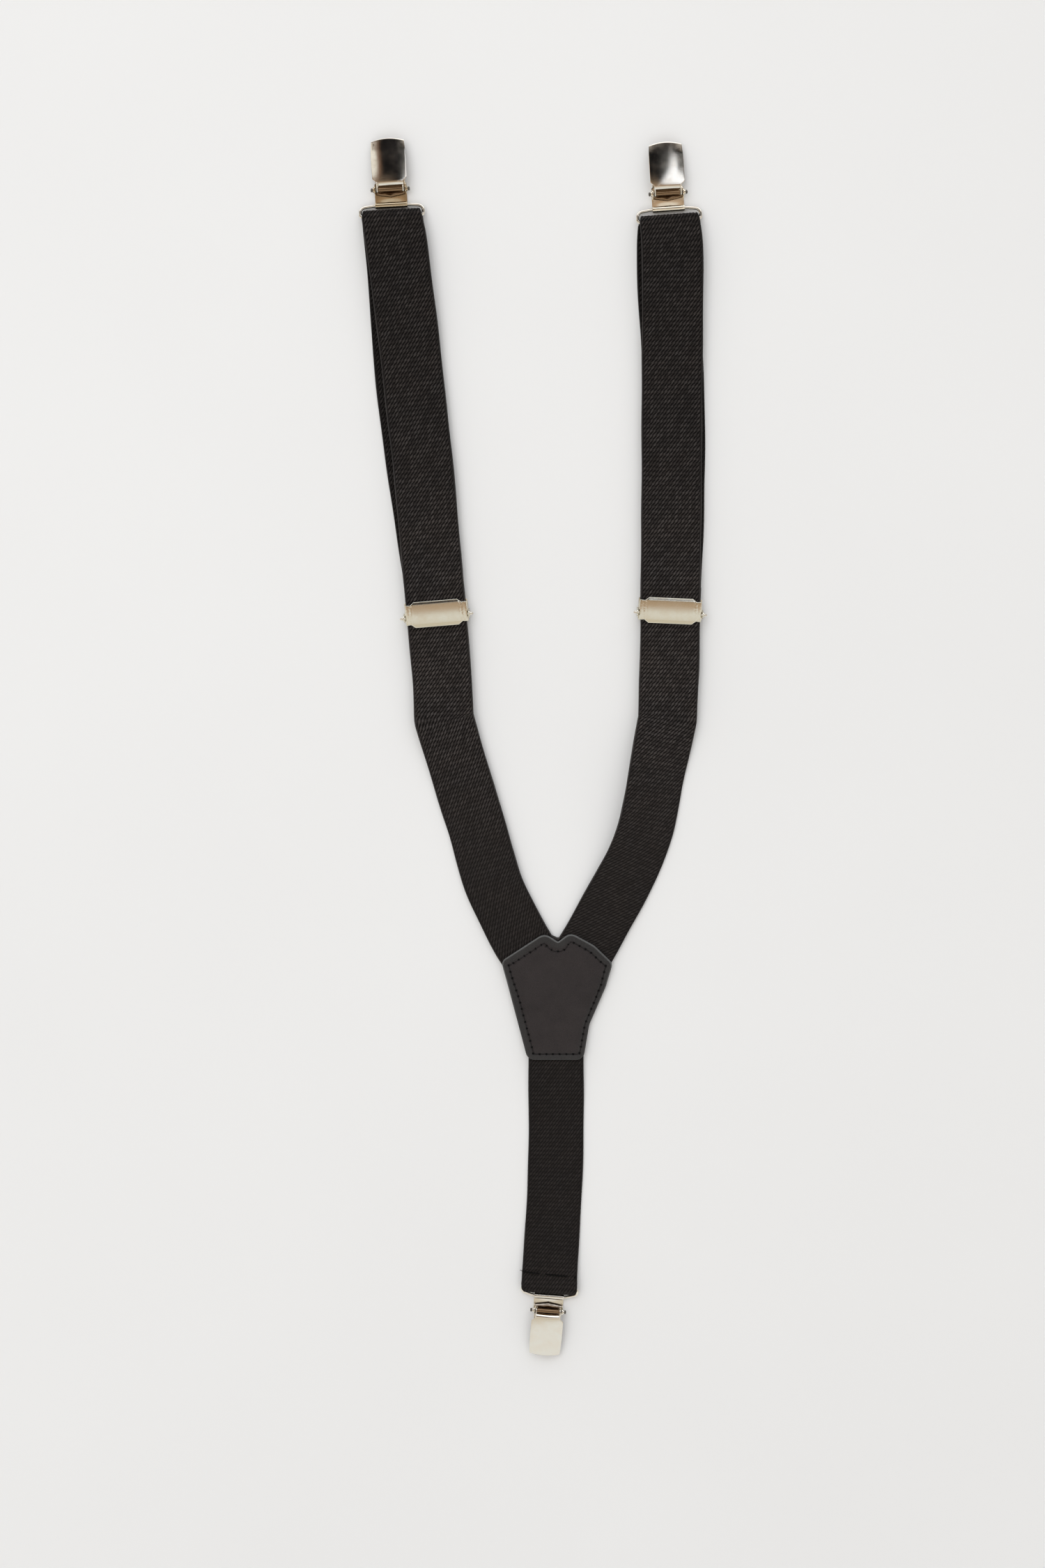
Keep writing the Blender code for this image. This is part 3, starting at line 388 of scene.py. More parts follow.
def thread_material(name, dark, light):
    """Black twisted sewing thread."""
    s = Surface(name)
    place = s.object_mm()
    twist = s.add("TexWave", wave_type="BANDS", bands_direction="DIAGONAL")
    s.put(twist.inputs["Vector"], place)
    twist.inputs["Scale"].default_value = 2.2
    twist.inputs["Distortion"].default_value = 1.5
    fibre = s.noise(place, 6.0, 2.0)
    s.set(Base_Color=s.ramp(s.times(twist.outputs["Fac"], fibre), [(0.1, dark), (0.6, light)]))
    s.set(Roughness=s.spread(fibre, 0.3, 0.7, 0.55, 0.8), Specular_IOR_Level=0.15)
    s.set(Normal=s.bump(twist.outputs["Fac"], 0.08, 0.8))
    return s.material


def floor_material():
    s = Surface("studio_floor")
    slow = s.noise(s.object_mm(), 0.004, 2.0)
    s.set(Base_Color=s.ramp(slow, [(0.3, (0.819, 0.828, 0.837)), (0.7, (0.832, 0.842, 0.851))]))
    s.set(Roughness=0.75, Specular_IOR_Level=0.2)
    return s.material


WEBBING = webbing_material()
# Each leather's last colour is the painted highlight on its rim
LEATHER = leather_material("patch_leather", centre=(0.0275, 0.0225, 0.0230), border=(0.0300, 0.0285, 0.0285),
                           rim_highlight_colour=(0.115, 0.118, 0.117))
BACKING = leather_material("backing_leather", centre=(0.040, 0.036, 0.034), border=(0.040, 0.036, 0.034),
                           rim_highlight_colour=(0.060, 0.056, 0.052))
NICKEL = metal_material("polished_nickel", (0.80, 0.765, 0.69), 0.07, 0.20)
WIRE_METAL = metal_material("nickel_wire", (0.80, 0.76, 0.68), 0.08, 0.20)
SATIN = metal_material("adjuster_plate", (0.76, 0.735, 0.625), 0.11, 0.19, (1.0, 0.93, 0.87))
PIN_STEEL = metal_material("dark_pin_steel", (0.13, 0.12, 0.105), 0.30, 0.45)
# A darker copy of the nickel for the left lower jaw and a paler, warmer one for the right: painted reflection
# and shade on each base
NICKEL_PAINTED_SHADE = metal_material("nickel_painted_shade", (0.54, 0.445, 0.305), 0.09, 0.20)
NICKEL_PAINTED_LIGHT = metal_material("nickel_painted_light", (0.84, 0.77, 0.64), 0.09, 0.20)
JAW_METALS = {"left": NICKEL_PAINTED_SHADE, "right": NICKEL_PAINTED_LIGHT, "back": NICKEL}
# The leaf metal is dark brown for the front clips and paler for the back one: painted shade and reflection
SPRING_PAINTED_SHADE = metal_material("spring_leaf_painted_shade", (0.235, 0.155, 0.090), 0.14, 0.28)
SPRING_PAINTED_LIGHT = metal_material("spring_leaf_painted_light", (0.46, 0.40, 0.34), 0.14, 0.28)
THREAD = thread_material("sewing_thread", (0.0008, 0.0007, 0.0007), (0.0045, 0.0042, 0.0042))
WAXED_THREAD = thread_material("waxed_thread", (0.0120, 0.0105, 0.0108), (0.0300, 0.0265, 0.0270))


# ---------------------------------------------------------------- mesh helpers

def make_piece(name, mesh, material, body, replaced=()):
    piece = bpy.data.objects.new(name, mesh)
    bpy.context.scene.collection.objects.link(piece)
    mesh.name = name
    mesh.materials.clear()
    mesh.materials.append(material)
    if body:
        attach(piece, body)
    if replaced:
        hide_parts(*replaced)
    return piece


def mesh_from(points, faces, matrix=None):
    """A mesh from points in millimetres, placed by matrix (in millimetres too), in metres."""
    points = np.array(points, float).reshape(-1, 3)
    if matrix is not None:
        turn = np.array(matrix, float)
        points = points @ turn[:3, :3].T + turn[:3, 3]
    mesh = bpy.data.meshes.new("made")
    mesh.from_pydata((points * MM).tolist(), [], [list(face) for face in faces])
    mesh.validate()
    return mesh


def tidy_normals(mesh, angle=None):
    shape = bmesh.new()
    shape.from_mesh(mesh)
    bmesh.ops.recalc_face_normals(shape, faces=shape.faces)
    shape.to_mesh(mesh)
    shape.free()
    mesh.shade_smooth()
    if angle:
        mesh.set_sharp_from_angle(angle=math.radians(angle))


def finished(mesh, modifiers):
    """The mesh with these modifiers applied."""
    scratch = bpy.data.objects.new("scratch", mesh)
    bpy.context.scene.collection.objects.link(scratch)
    for kind, settings in modifiers:
        modifier = scratch.modifiers.new(kind.lower(), kind)
        for key, value in settings.items():
            setattr(modifier, key, value)
    graph = bpy.context.evaluated_depsgraph_get()
    made = bpy.data.meshes.new_from_object(scratch.evaluated_get(graph))
    bpy.data.objects.remove(scratch)
    return made


def joined(meshes, smooth=False):
    """Several meshes as one."""
    shape = bmesh.new()
    for mesh in meshes:
        shape.from_mesh(mesh)
    made = bpy.data.meshes.new("joined")
    shape.to_mesh(made)
    shape.free()
    if smooth:
        made.shade_smooth()
    return made


def place_matrix(place):
    x, y, turn = place
    return Matrix.Translation((x, y, 0)) @ Matrix.Rotation(math.radians(turn), 4, "Z")


def grid_faces(rows, columns, closed=False):
    faces = []
    for row in range(rows - 1):
        for column in range(columns if closed else columns - 1):
            after = (column + 1) % columns
            faces.append((row * columns + column, row * columns + after,
                          (row + 1) * columns + after, (row + 1) * columns + column))
    return faces


def tube_faces(rings, sides, looped):
    """Faces over rings of points: the last ring meets the first when looped, and both get caps if not."""
    faces = grid_faces(rings, sides, True)
    last = (rings - 1) * sides
    if looped:
        return faces + [(last + i, last + (i + 1) % sides, (i + 1) % sides, i) for i in range(sides)]
    return faces + [tuple(range(sides)), tuple(range(last, last + sides))]


def prism_faces(count):
    """Faces between an outline of count points and the same outline moved."""
    faces = [tuple(range(count)), tuple(range(2 * count - 1, count - 1, -1))]
    return faces + [(i, (i + 1) % count, count + (i + 1) % count, count + i) for i in range(count)]


def shell_faces(faces, count):
    """Faces of a plan, of its copy count points further on, and of the rim between them."""
    edges = [(a, b) for face in faces for a, b in zip(face, face[1:] + face[:1])]
    known = set(edges)
    rim = [(b, a, a + count, b + count) for a, b in edges if (b, a) not in known]
    return [*faces, *(tuple(i + count for i in reversed(face)) for face in faces), *rim]


def edge_bevel(width):
    """A modifier's kind and settings, for finished."""
    return "BEVEL", {"width": width * MM, "segments": 2, "limit_method": "ANGLE",
                     "angle_limit": math.radians(50)}


def bent_sheet(rows, columns, point_at, thickness, matrix, bevel=0.13):
    """Sheet metal through a grid of points, thickened both ways, with softened edges."""
    points = [point_at(across, row) for row in rows for across in np.linspace(-1, 1, columns)]
    mesh = mesh_from(points, grid_faces(len(rows), columns), matrix)
    made = finished(mesh, [
        ("SOLIDIFY", {"thickness": thickness * MM, "offset": 0, "use_even_offset": True}), edge_bevel(bevel),
    ])
    made.shade_smooth()
    return made


def side_plate(outline, x, matrix, bevel=0.1):
    """A flat plate drawn in y and z, centred on x."""
    points = [(x + side * SHEET / 2, spot[0], spot[1]) for side in (-1, 1) for spot in outline]
    mesh = mesh_from(points, prism_faces(len(outline)), matrix)
    tidy_normals(mesh)
    made = finished(mesh, [edge_bevel(bevel)])
    made.shade_smooth()
    made.set_sharp_from_angle(angle=math.radians(40))
    return made


def circle(sides):
    """The angles of a ring's points."""
    return [2 * math.pi * step / sides for step in range(sides)]


def tube(points, radii, sides, matrix=None, looped=False):
    """A round tube along points; radii is one value or one for each point."""
    line = np.array(points, float)
    tangents = np.roll(line, -1, 0) - np.roll(line, 1, 0) if looped else np.gradient(line, axis=0)
    tangents /= np.linalg.norm(tangents, axis=1)[:, None]
    verts = []
    for spot, tangent, radius in zip(line, tangents, np.broadcast_to(radii, len(line))):
        side = np.cross(tangent, (0.0, 0.0, 1.0))
        side = side / max(np.linalg.norm(side), 1e-9)
        top = np.cross(side, tangent)
        verts += [spot + radius * (math.cos(angle) * side + math.sin(angle) * top) for angle in circle(sides)]
    mesh = mesh_from(verts, tube_faces(len(line), sides, looped), matrix)
    tidy_normals(mesh)
    return mesh


def turned(profile, sides, matrix, y, z, looped=False):
    """A body round an axis along x from (place, radius) pairs; looped makes it a ring with a bore."""
    verts = [(place, y + radius * math.cos(angle), z + radius * math.sin(angle))
             for place, radius in profile for angle in circle(sides)]
    mesh = mesh_from(verts, tube_faces(len(profile), sides, looped), matrix)
    tidy_normals(mesh, 40)
    return mesh


def spline_path(points, steps):
    """A Catmull-Rom curve through the points; its first and last points are its ends."""
    ends = [points[0], *points, points[-1]]
    path = []
    for before, start, stop, after in zip(ends, ends[1:], ends[2:], ends[3:]):
        for step in range(steps):
            t = step / steps
            path.append(tuple(
                0.5 * (2 * b + (c - a) * t + (2 * a - 5 * b + 4 * c - d) * t * t
                       + (3 * b - a - 3 * c + d) * t ** 3)
                for a, b, c, d in zip(before, start, stop, after)
            ))
    path.append(tuple(points[-1]))
    return path


def rounded(corners, steps=6):
    """A closed outline with each corner replaced by an arc of its radius."""
    outline = []
    for index, (x, y, radius) in enumerate(corners):
        corner = Vector((x, y))
        before = (Vector(corners[index - 1][:2]) - corner).normalized()
        after = (Vector(corners[(index + 1) % len(corners)][:2]) - corner).normalized()
        half = before.angle(after) / 2
        first = corner + before * (radius / math.tan(half))
        last = corner + after * (radius / math.tan(half))
        middle = corner + (before + after).normalized() * (radius / math.sin(half))
        start, stop = first - middle, last - middle
        turn = 1 if start.x * stop.y - start.y * stop.x > 0 else -1
        for step in range(steps + 1):
            angle = turn * start.angle(stop) * step / steps
            outline.append(middle + Matrix.Rotation(angle, 2) @ start)
    return outline


def resampled(outline, spacing):
    """Points at even spacing round a closed outline."""
    line = np.array([tuple(p) for p in [*outline, outline[0]]], float)
    steps = np.linalg.norm(np.diff(line, axis=0), axis=1)
    line = line[np.concatenate(([True], steps > 1e-6))]
    length = np.concatenate(([0], np.cumsum(np.linalg.norm(np.diff(line, axis=0), axis=1))))
    count = max(int(round(length[-1] / spacing)), 3)
    wanted = np.arange(count) * length[-1] / count
    return np.stack([np.interp(wanted, length, line[:, k]) for k in range(2)], 1)


def inward(points):
    """Unit normals into an anticlockwise closed outline."""
    ahead = np.roll(points, -1, 0) - np.roll(points, 1, 0)
    ahead /= np.linalg.norm(ahead, axis=1)[:, None]
    return np.stack([-ahead[:, 1], ahead[:, 0]], 1)


def distance_to(points, line, closed=True):
    """Distance in plan from each point to a polyline."""
    start = line if closed else line[:-1]
    stop = np.roll(line, -1, 0) if closed else line[1:]
    step = stop - start
    size = np.maximum((step ** 2).sum(1), 1e-12)
    best = np.full(len(points), 1e9)
    for a, d, q in zip(start, step, size):
        t = np.clip(((points - a) @ d) / q, 0, 1)
        best = np.minimum(best, np.linalg.norm(points - a - t[:, None] * d, axis=1))
    return best


def is_inside(points, outline):
    x, y = points[:, 0], points[:, 1]
    odd = np.zeros(len(points), bool)
    for (x1, y1), (x2, y2) in zip(outline, np.roll(outline, -1, 0)):
        crosses = (y1 > y) != (y2 > y)
        if crosses.any():
            reach = x1 + (y - y1) / (y2 - y1 + 1e-15) * (x2 - x1)
            odd ^= crosses & (x < reach)
    return odd


def leaf(outline, rings, edge_spacing, grid_spacing, seed=3):
    """Plan points, their distance from the edge, and triangles of a flat piece, finer near its edge."""
    edge = resampled(outline, edge_spacing)
    normals = inward(edge)
    points = [edge]
    for ring in rings:
        moved = edge + normals * ring
        points.append(moved[distance_to(moved, edge) > ring - 0.03])
    low, high = edge.min(0), edge.max(0)
    axes = [np.arange(low[k], high[k], grid_spacing) for k in range(2)]
    grid = np.stack(np.meshgrid(*axes), -1).reshape(-1, 2)
    grid = grid + np.random.default_rng(seed).uniform(-0.2, 0.2, grid.shape) * grid_spacing
    clear = distance_to(grid, edge) > rings[-1] + grid_spacing * 0.6
    points.append(grid[is_inside(grid, edge) & clear])
    fence = [(i, (i + 1) % len(edge)) for i in range(len(edge))]
    spots = [Vector(p) for p in np.concatenate(points)]
    verts, _, faces, *_ = geometry.delaunay_2d_cdt(spots, fence, [], 1, 1e-5)
    flat = np.array([tuple(v) for v in verts], float)
    return flat, distance_to(flat, edge), [tuple(f) for f in faces]


def thick_leaf(flat, faces, top, bottom, inset):
    """A closed mesh from one plan triangulation and two heights, with the attribute inset."""
    points = np.concatenate([np.column_stack([flat, top]), np.column_stack([flat, bottom])])
    mesh = mesh_from(points, shell_faces(faces, len(flat)))
    mark(mesh, "inset", np.concatenate([inset, inset]))
    tidy_normals(mesh)
    return mesh


def mark(mesh, name, values):
    mesh.attributes.new(name, "FLOAT", "POINT").data.foreach_set("value", values.astype(np.float32))


def rounding(inset, reach, share):
    """Height near an edge as a share of the full one: 1 beyond reach, falling in an arc."""
    return np.sqrt(1 - (1 - np.minimum(inset, reach) / reach) ** 2 * share)


def dent(distance, width, power=2):
    """1 at no distance, fading over width."""
    return np.exp(-(distance / width) ** power)


def smoothstep(value, low, high):
    """0 up to low, 1 from high on, and a soft rise between them."""
    t = np.clip((value - low) / (high - low), 0, 1)
    return t * t * (3 - 2 * t)


# ---------------------------------------------------------------- webbing

def direction_of(turn):
    angle = math.radians(turn)
    return (-math.sin(angle), math.cos(angle))


def along(place, distance):
    x, y, turn = place
    dx, dy = direction_of(turn)
    return (x + dx * distance, y + dy * distance)


def half_turn(centre, direction, radius, low, going_down, steps=16):
    """Points between the two runs of a fold round centre; low is the height of the lower run."""
    points = []
    for step in range(1, steps):
        angle = math.pi * step / steps
        height = math.cos(angle) if going_down else -math.cos(angle)
        reach = radius * math.sin(angle)
        points.append((centre[0] + direction[0] * reach, centre[1] + direction[1] * reach,
                       low + radius + radius * height, 0))
    return points


class Route:
    """A ribbon's middle line in millimetres, with cross directions, normals and widths along its length."""

    def __init__(self, path, flat, widths):
        rows = np.array(path, float)
        self.spots = rows[:, :3]
        self.tilt = np.radians(rows[:, 3])
        steps = np.linalg.norm(np.diff(self.spots, axis=0), axis=1)
        self.length_at = np.concatenate(([0], np.cumsum(steps)))
        self.length = self.length_at[-1]
        tangents = np.gradient(self.spots, self.length_at, axis=0)
        tangents /= np.linalg.norm(tangents, axis=1)[:, None]
        crosses = []
        for tangent, ahead in zip(tangents, flat):
            dx, dy = ahead if ahead else (tangent[0], tangent[1])
            cross = np.array((dy, -dx, 0.0)) / math.hypot(dx, dy)
            crosses.append(cross if cross[0] > 0 else -cross)
        crosses = np.array(crosses)
        soft = crosses.copy()
        for _ in range(3):
            soft[1:-1] = (soft[:-2] + 2 * soft[1:-1] + soft[2:]) / 4
        self.crosses = soft / np.linalg.norm(soft, axis=1)[:, None]
        self.tangents = tangents
        self.halves = np.array(widths, float) / 2

    def at(self, values, lengths):
        if values.ndim == 1:
            return np.interp(lengths, self.length_at, values)
        return np.stack([np.interp(lengths, self.length_at, values[:, k]) for k in range(values.shape[1])], 1)

    def mapped(self, flat, nominal):
        """Places points given as (across, along, height) of a flat ribbon of the nominal width."""
        lengths = np.clip(flat[:, 1], 0, self.length)
        spots = self.at(self.spots, lengths)
        tangents = self.at(self.tangents, lengths)
        crosses = self.at(self.crosses, lengths)
        tilt = self.at(self.tilt, lengths)
        lean = crosses * np.cos(tilt)[:, None]
        lean[:, 2] += np.sin(tilt)
        normals = np.cross(lean, tangents)
        normals /= np.linalg.norm(normals, axis=1)[:, None]
        reach = flat[:, 0] * self.at(self.halves, lengths) / (nominal / 2)
        return spots + lean * reach[:, None] + normals * flat[:, 2][:, None]

    def top_at(self, y):
        """Height of the upper face's middle where the run passes y; only for a run that goes one way in y."""
        order = np.argsort(self.spots[:, 1])
        return np.interp(y, self.spots[order, 1], self.spots[order, 2]) + WEB_THICKNESS / 2


def raised(path):
    return [(x, y, max(z, 0) + WEB_THICKNESS / 2, tilt) for x, y, z, tilt in path]


def front_widths(rows):
    """Width at each number of rows from the fold, where the webbing is drawn in."""
    return FOLD_WIDTH + (FRONT_WIDTH - FOLD_WIDTH) * np.clip(rows / CURVE_STEPS, 0, 1)


def pinch(count):
    """How far each row of a fold draws in, from 0 beside it to 1 at its middle."""
    return np.sin(math.pi * np.arange(1, count + 1) / (count + 1))


def front_route(side, upper, lower):
    """From under the patch, up through the adjuster, over the fold to its underside."""
    clip = PLACES[f"{side}_clip"]
    centre = along(clip, -BAR_REACH + FOLD_SLACK[side])
    ahead = direction_of(clip[2])
    low = spline_path(lower[::-1], CURVE_STEPS)
    high = spline_path([(*centre, 2 * FOLD_RADIUS, 0), *upper], CURVE_STEPS)[::-1]
    run = raised(low + high[1:])
    fold = (centre[0] + ahead[0] * GAP, centre[1] + ahead[1] * GAP)
    turn = half_turn(fold, ahead, FOLD_RADIUS, WEB_THICKNESS / 2, True)
    path = run + turn + [(*centre, WEB_THICKNESS / 2, 0)]
    flat = [None] * (len(run) - 10) + [ahead] * (10 + len(turn) + 1)
    widths = front_widths(len(run) - 1 - np.arange(len(path)))
    widths[len(run):-1] -= FOLD_PINCH["front"] * pinch(len(turn))
    return Route(path, flat, widths)


def return_route(side, route):
    """The layer beneath, from the fold back to the adjuster, wrapped round the bar of its frame."""
    clip, adjuster = PLACES[f"{side}_clip"], PLACES[f"{side}_adjuster"]
    centre = along(clip, -BAR_REACH + FOLD_SLACK[side])
    ahead, up = direction_of(clip[2]), direction_of(adjuster[2])
    low = WEB_THICKNESS / 2
    wrap_y = BAR_EDGE_Y - 0.1
    wrap = along(adjuster, wrap_y)
    layer = [(*centre, 0, 0), *route[:-1], (*along(adjuster, wrap_y + TAIL_LENGTH + 2), 0, 0), (*wrap, 0, 0)]
    run = raised(spline_path(layer, CURVE_STEPS))
    wrap_radius = (FRAME_SHEET + 2 * GAP + WEB_THICKNESS) / 2
    turn = half_turn(wrap, (-up[0], -up[1]), wrap_radius, low, False, 12)
    tail = [(*along(adjuster, wrap_y + d), low + 2 * wrap_radius, 0) for d in np.linspace(0, TAIL_LENGTH, 8)]
    path = run + turn + tail
    flat = [ahead] * 5 + [None] * (len(run) - 15) + [up] * (10 + len(turn) + len(tail))
    return Route(path, flat, front_widths(np.arange(len(path))))


def back_route():
    """From under the patch to the back clip, over the fold, and the hemmed end beneath."""
    clip = PLACES["back_clip"]
    ahead = direction_of(clip[2])
    x, y = along(clip, -BAR_REACH + FOLD_SLACK["back"])
    centre = (x - 0.5, y)
    low = WEB_THICKNESS / 2
    run = raised(spline_path([*BACK_RUN, (*centre, 2 * FOLD_RADIUS, 0)], CURVE_STEPS))
    turn = half_turn(centre, ahead, FOLD_RADIUS, low, True)
    lean = (BACK_RUN[-1][0] - centre[0]) / (BACK_RUN[-1][1] - centre[1])
    tail = [(centre[0] + lean * (y - centre[1]), y, low, 0) for y in np.linspace(centre[1], BACK_TAIL_Y, 8)]
    path = run + turn + tail
    flat = [None] * (len(run) - 3) + [ahead] * (3 + len(turn) + len(tail))
    back = len(run) - 1 - np.arange(len(path))
    widths = FOLD_WIDTH + (BACK_WIDTH - FOLD_WIDTH) * smoothstep(back, 6, 48)
    widths[len(run):-len(tail)] -= FOLD_PINCH["back"] * pinch(len(turn)) ** 1.6
    widths[-len(tail):] -= HEM_TAPER * np.arange(len(tail)) / len(tail)
    return Route(path, flat, widths)


def trim(shape, spot, normal, reach):
    """Cuts off what lies beyond a plane and closes the cut; corners within reach snap to it."""
    everything = shape.verts[:] + shape.edges[:] + shape.faces[:]
    bmesh.ops.bisect_plane(shape, geom=everything, plane_co=spot, plane_no=normal, clear_outer=True,
                           dist=reach)
    bmesh.ops.holes_fill(shape, edges=[e for e in shape.edges if e.is_boundary], sides=0)


def ribbed_slab(length, width, seed):
    """A closed flat ribbon (across, along, height) whose rows follow the twill, in millimetres."""
    half = width / 2
    right = [half - inset for inset in (0, 0.05, 0.2, 0.42, 0.7, 1.1, 1.5, 1.9)]
    inner = np.linspace(-(half - SELVAGE_WIDTH), half - SELVAGE_WIDTH, 26)
    across = np.array([-x for x in right] + list(inner) + right[::-1])
    from_edge = half - np.abs(across)
    height = WEB_THICKNESS / 2 * rounding(from_edge, SELVAGE_RADIUS, 1) - 0.1 * dent(from_edge - 1.5, 0.35)
    ribbed = smoothstep(from_edge, 0.3, 1.3)
    near_edge = smoothstep(np.abs(across), half - 3, half)
    slope = math.tan(RIB_ANGLE)
    step = RIB_PITCH / 2 / math.cos(RIB_ANGLE)
    first = math.floor((-slope * half) / step) - 1
    last = math.ceil((length + slope * half) / step) + 1
    count = len(across)
    order = list(range(count)) + list(range(count - 2, 0, -1))
    side = np.array([1.0] * count + [-1.0] * (count - 2))
    rows = []
    for index in range(first, last + 1):
        rise = RIB_RISE if index % 2 else -RIB_RISE
        ahead = index * step + slope * across
        wave = 0.12 * np.sin(ahead / 7.3 + seed) * np.sign(across) * near_edge
        section = np.column_stack([across + wave, ahead, height + rise * ribbed])[order]
        section[:, 2] *= side
        rows.append(section)
    mesh = bpy.data.meshes.new("slab")
    mesh.from_pydata(np.concatenate(rows).tolist(), [], grid_faces(len(rows), len(order), True))
    shape = bmesh.new()
    shape.from_mesh(mesh)
    trim(shape, (0, 0, 0), (0, -1, 0), 0.001)
    trim(shape, (0, length, 0), (0, 1, 0), 0.001)
    layer = shape.loops.layers.uv.new("weave")
    for face in shape.faces:
        for loop in face.loops:
            loop[layer].uv = (loop.vert.co.x * MM * FRONT_WIDTH / width, loop.vert.co.y * MM)
    shape.to_mesh(mesh)
    shape.free()
    return mesh


def webbing(route, width, seed, cut=None, mirrored=False):
    """Webbing laid along a route; cut = (x, side) keeps what lies beyond x on that side."""
    mesh = ribbed_slab(route.length, width, seed)
    flat = np.zeros(len(mesh.vertices) * 3)
    mesh.vertices.foreach_get("co", flat)
    flat = flat.reshape(-1, 3)
    if mirrored:
        flat[:, 0] *= -1
    mesh.vertices.foreach_set("co", (route.mapped(flat, width) * MM).ravel())
    shape = bmesh.new()
    shape.from_mesh(mesh)
    if cut:
        x, side = cut
        trim(shape, (x * MM, 0, 0), (-side, 0, 0), 1e-6)
    bmesh.ops.recalc_face_normals(shape, faces=shape.faces)
    shape.to_mesh(mesh)
    shape.free()
    mesh.shade_smooth()
    mesh.set_sharp_from_angle(angle=math.radians(70))
    return mesh


def lay_straps():
    """All webbing; gives back the upper routes, which the patch and the seams lie on."""
    routes = {"back": back_route()}
    for side, sign, upper, lower, under in (("left", -1, LEFT_UPPER, LEFT_LOWER, LEFT_RETURN),
                                            ("right", 1, RIGHT_UPPER, RIGHT_LOWER, RIGHT_RETURN)):
        routes[side] = front_route(side, upper, lower)
        mesh = webbing(routes[side], FRONT_WIDTH, sign, (PATCH_MIDDLE_X + sign * GAP / 2, sign))
        piece = make_piece(f"{side}_front_webbing", mesh, WEBBING, None, [f"{side}_front_strap"])
        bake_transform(piece)
        mesh = webbing(return_route(side, under), FRONT_WIDTH, 2 + sign, mirrored=True)
        piece = make_piece(f"{side}_return_webbing", mesh, WEBBING, None, [f"{side}_strap_return"])
        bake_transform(piece)
    mesh = webbing(routes["back"], BACK_WIDTH, 5, mirrored=True)
    make_piece("back_webbing", mesh, WEBBING, "root", ["back_strap"])
    return routes


# ---------------------------------------------------------------- patch and stitches

def stitch_line(outline):
    """Points along the seam at a fine step, and where the needle holes are."""
    edge = resampled(outline, 0.5)
    x, y = edge[:, 0] - PATCH_MIDDLE_X, edge[:, 1]
    inset = STITCH_INSET - 0.9 * smoothstep(-y, 115, 140) * np.clip(x / 17, -1, 1) * (y > -171)
    inset = inset + smoothstep(y, -116, -108) * np.where(x < 0, 1.4, 0.9)
    inset = inset + 1.6 * dent(x, 3.0) * (y > -110)
    for _ in range(12):
        inset = (np.roll(inset, 1) + inset + np.roll(inset, -1)) / 3
    fine = resampled(edge + inward(edge) * inset[:, None], SEAM_STEP)
    count = round(len(fine) * SEAM_STEP / STITCH_PITCH)
    return fine, np.array([fine[int(round(k * len(fine) / count)) % len(fine)] for k in range(count)])


def stitch(points, surface, radius, rise, sink):
    """One stitch that dives into its holes at both ends; surface gives the height under a point."""
    t = np.linspace(0, 1, len(points))
    heights = surface(points) - sink + (rise + sink) * np.sin(math.pi * t) ** 0.5
    radii = radius * (0.45 + 0.55 * np.sin(math.pi * np.clip(t, 0.06, 0.94)) ** 0.4)
    return tube(np.column_stack([points, heights]), radii, 10)


def hole_shade_disc(spot):
    """A flat near-black disc where a stitch dives into its hole: painted shade in the hole."""
    mesh = bpy.data.meshes.new("hole_shade_disc")
    shape = bmesh.new()
    bmesh.ops.create_uvsphere(shape, u_segments=14, v_segments=8, radius=1.0)
    bmesh.ops.scale(shape, vec=(HOLE_SHADE_RADIUS * MM, HOLE_SHADE_RADIUS * MM, 0.2 * MM), verts=shape.verts)
    bmesh.ops.translate(shape, vec=Vector(spot) * MM, verts=shape.verts)
    shape.to_mesh(mesh)
    shape.free()
    return mesh


def patch_underside(points, routes):
    """Height of the leather's underside: up on the webbing, sagging beside it."""
    clear = np.full(len(points), 1e9)
    for name, width in (("left", FRONT_WIDTH), ("right", FRONT_WIDTH), ("back", BACK_WIDTH)):
        spots = routes[name].spots
        near = spots[(spots[:, 1] < -60) & (spots[:, 1] > -215)]
        clear = np.minimum(clear, distance_to(points, near[:, :2], closed=False) - width / 2)
    return PATCH_UNDERSIDE - PATCH_SAG * smoothstep(clear, 0.4, 4.2)


def patch_leather_front(outline, holes, surface, routes):
    """The upper layer, pressed down at the seam and dented at each needle hole."""
    rings = [0.08, 0.22, 0.45, 0.8, 1.3, 2.0, 2.7, 3.15, 3.4, 3.6, 3.8, 4.05, 4.5]
    flat, inset, faces = leaf(outline, rings, 0.75, 1.05)
    near_hole = np.min(np.linalg.norm(flat[:, None, :] - holes[None, :, :], axis=2), axis=1)
    low = patch_underside(flat, routes)
    middle = low + 0.5
    top = middle + (surface(flat) - 0.60 * dent(near_hole, 0.6) - middle) * rounding(inset, 0.6, 0.85)
    low = middle - 0.5 * rounding(inset, 0.4, 0.85)
    mesh = thick_leaf(flat, faces, top, low, inset)
    # The hole attribute marks the needle holes, which the leather material paints near black: painted shade
    mark(mesh, "hole", np.concatenate([dent(near_hole, 0.78, 4), np.zeros(len(flat))]))
    make_piece("patch_leather_front", mesh, LEATHER, "root", ["patch_front"])


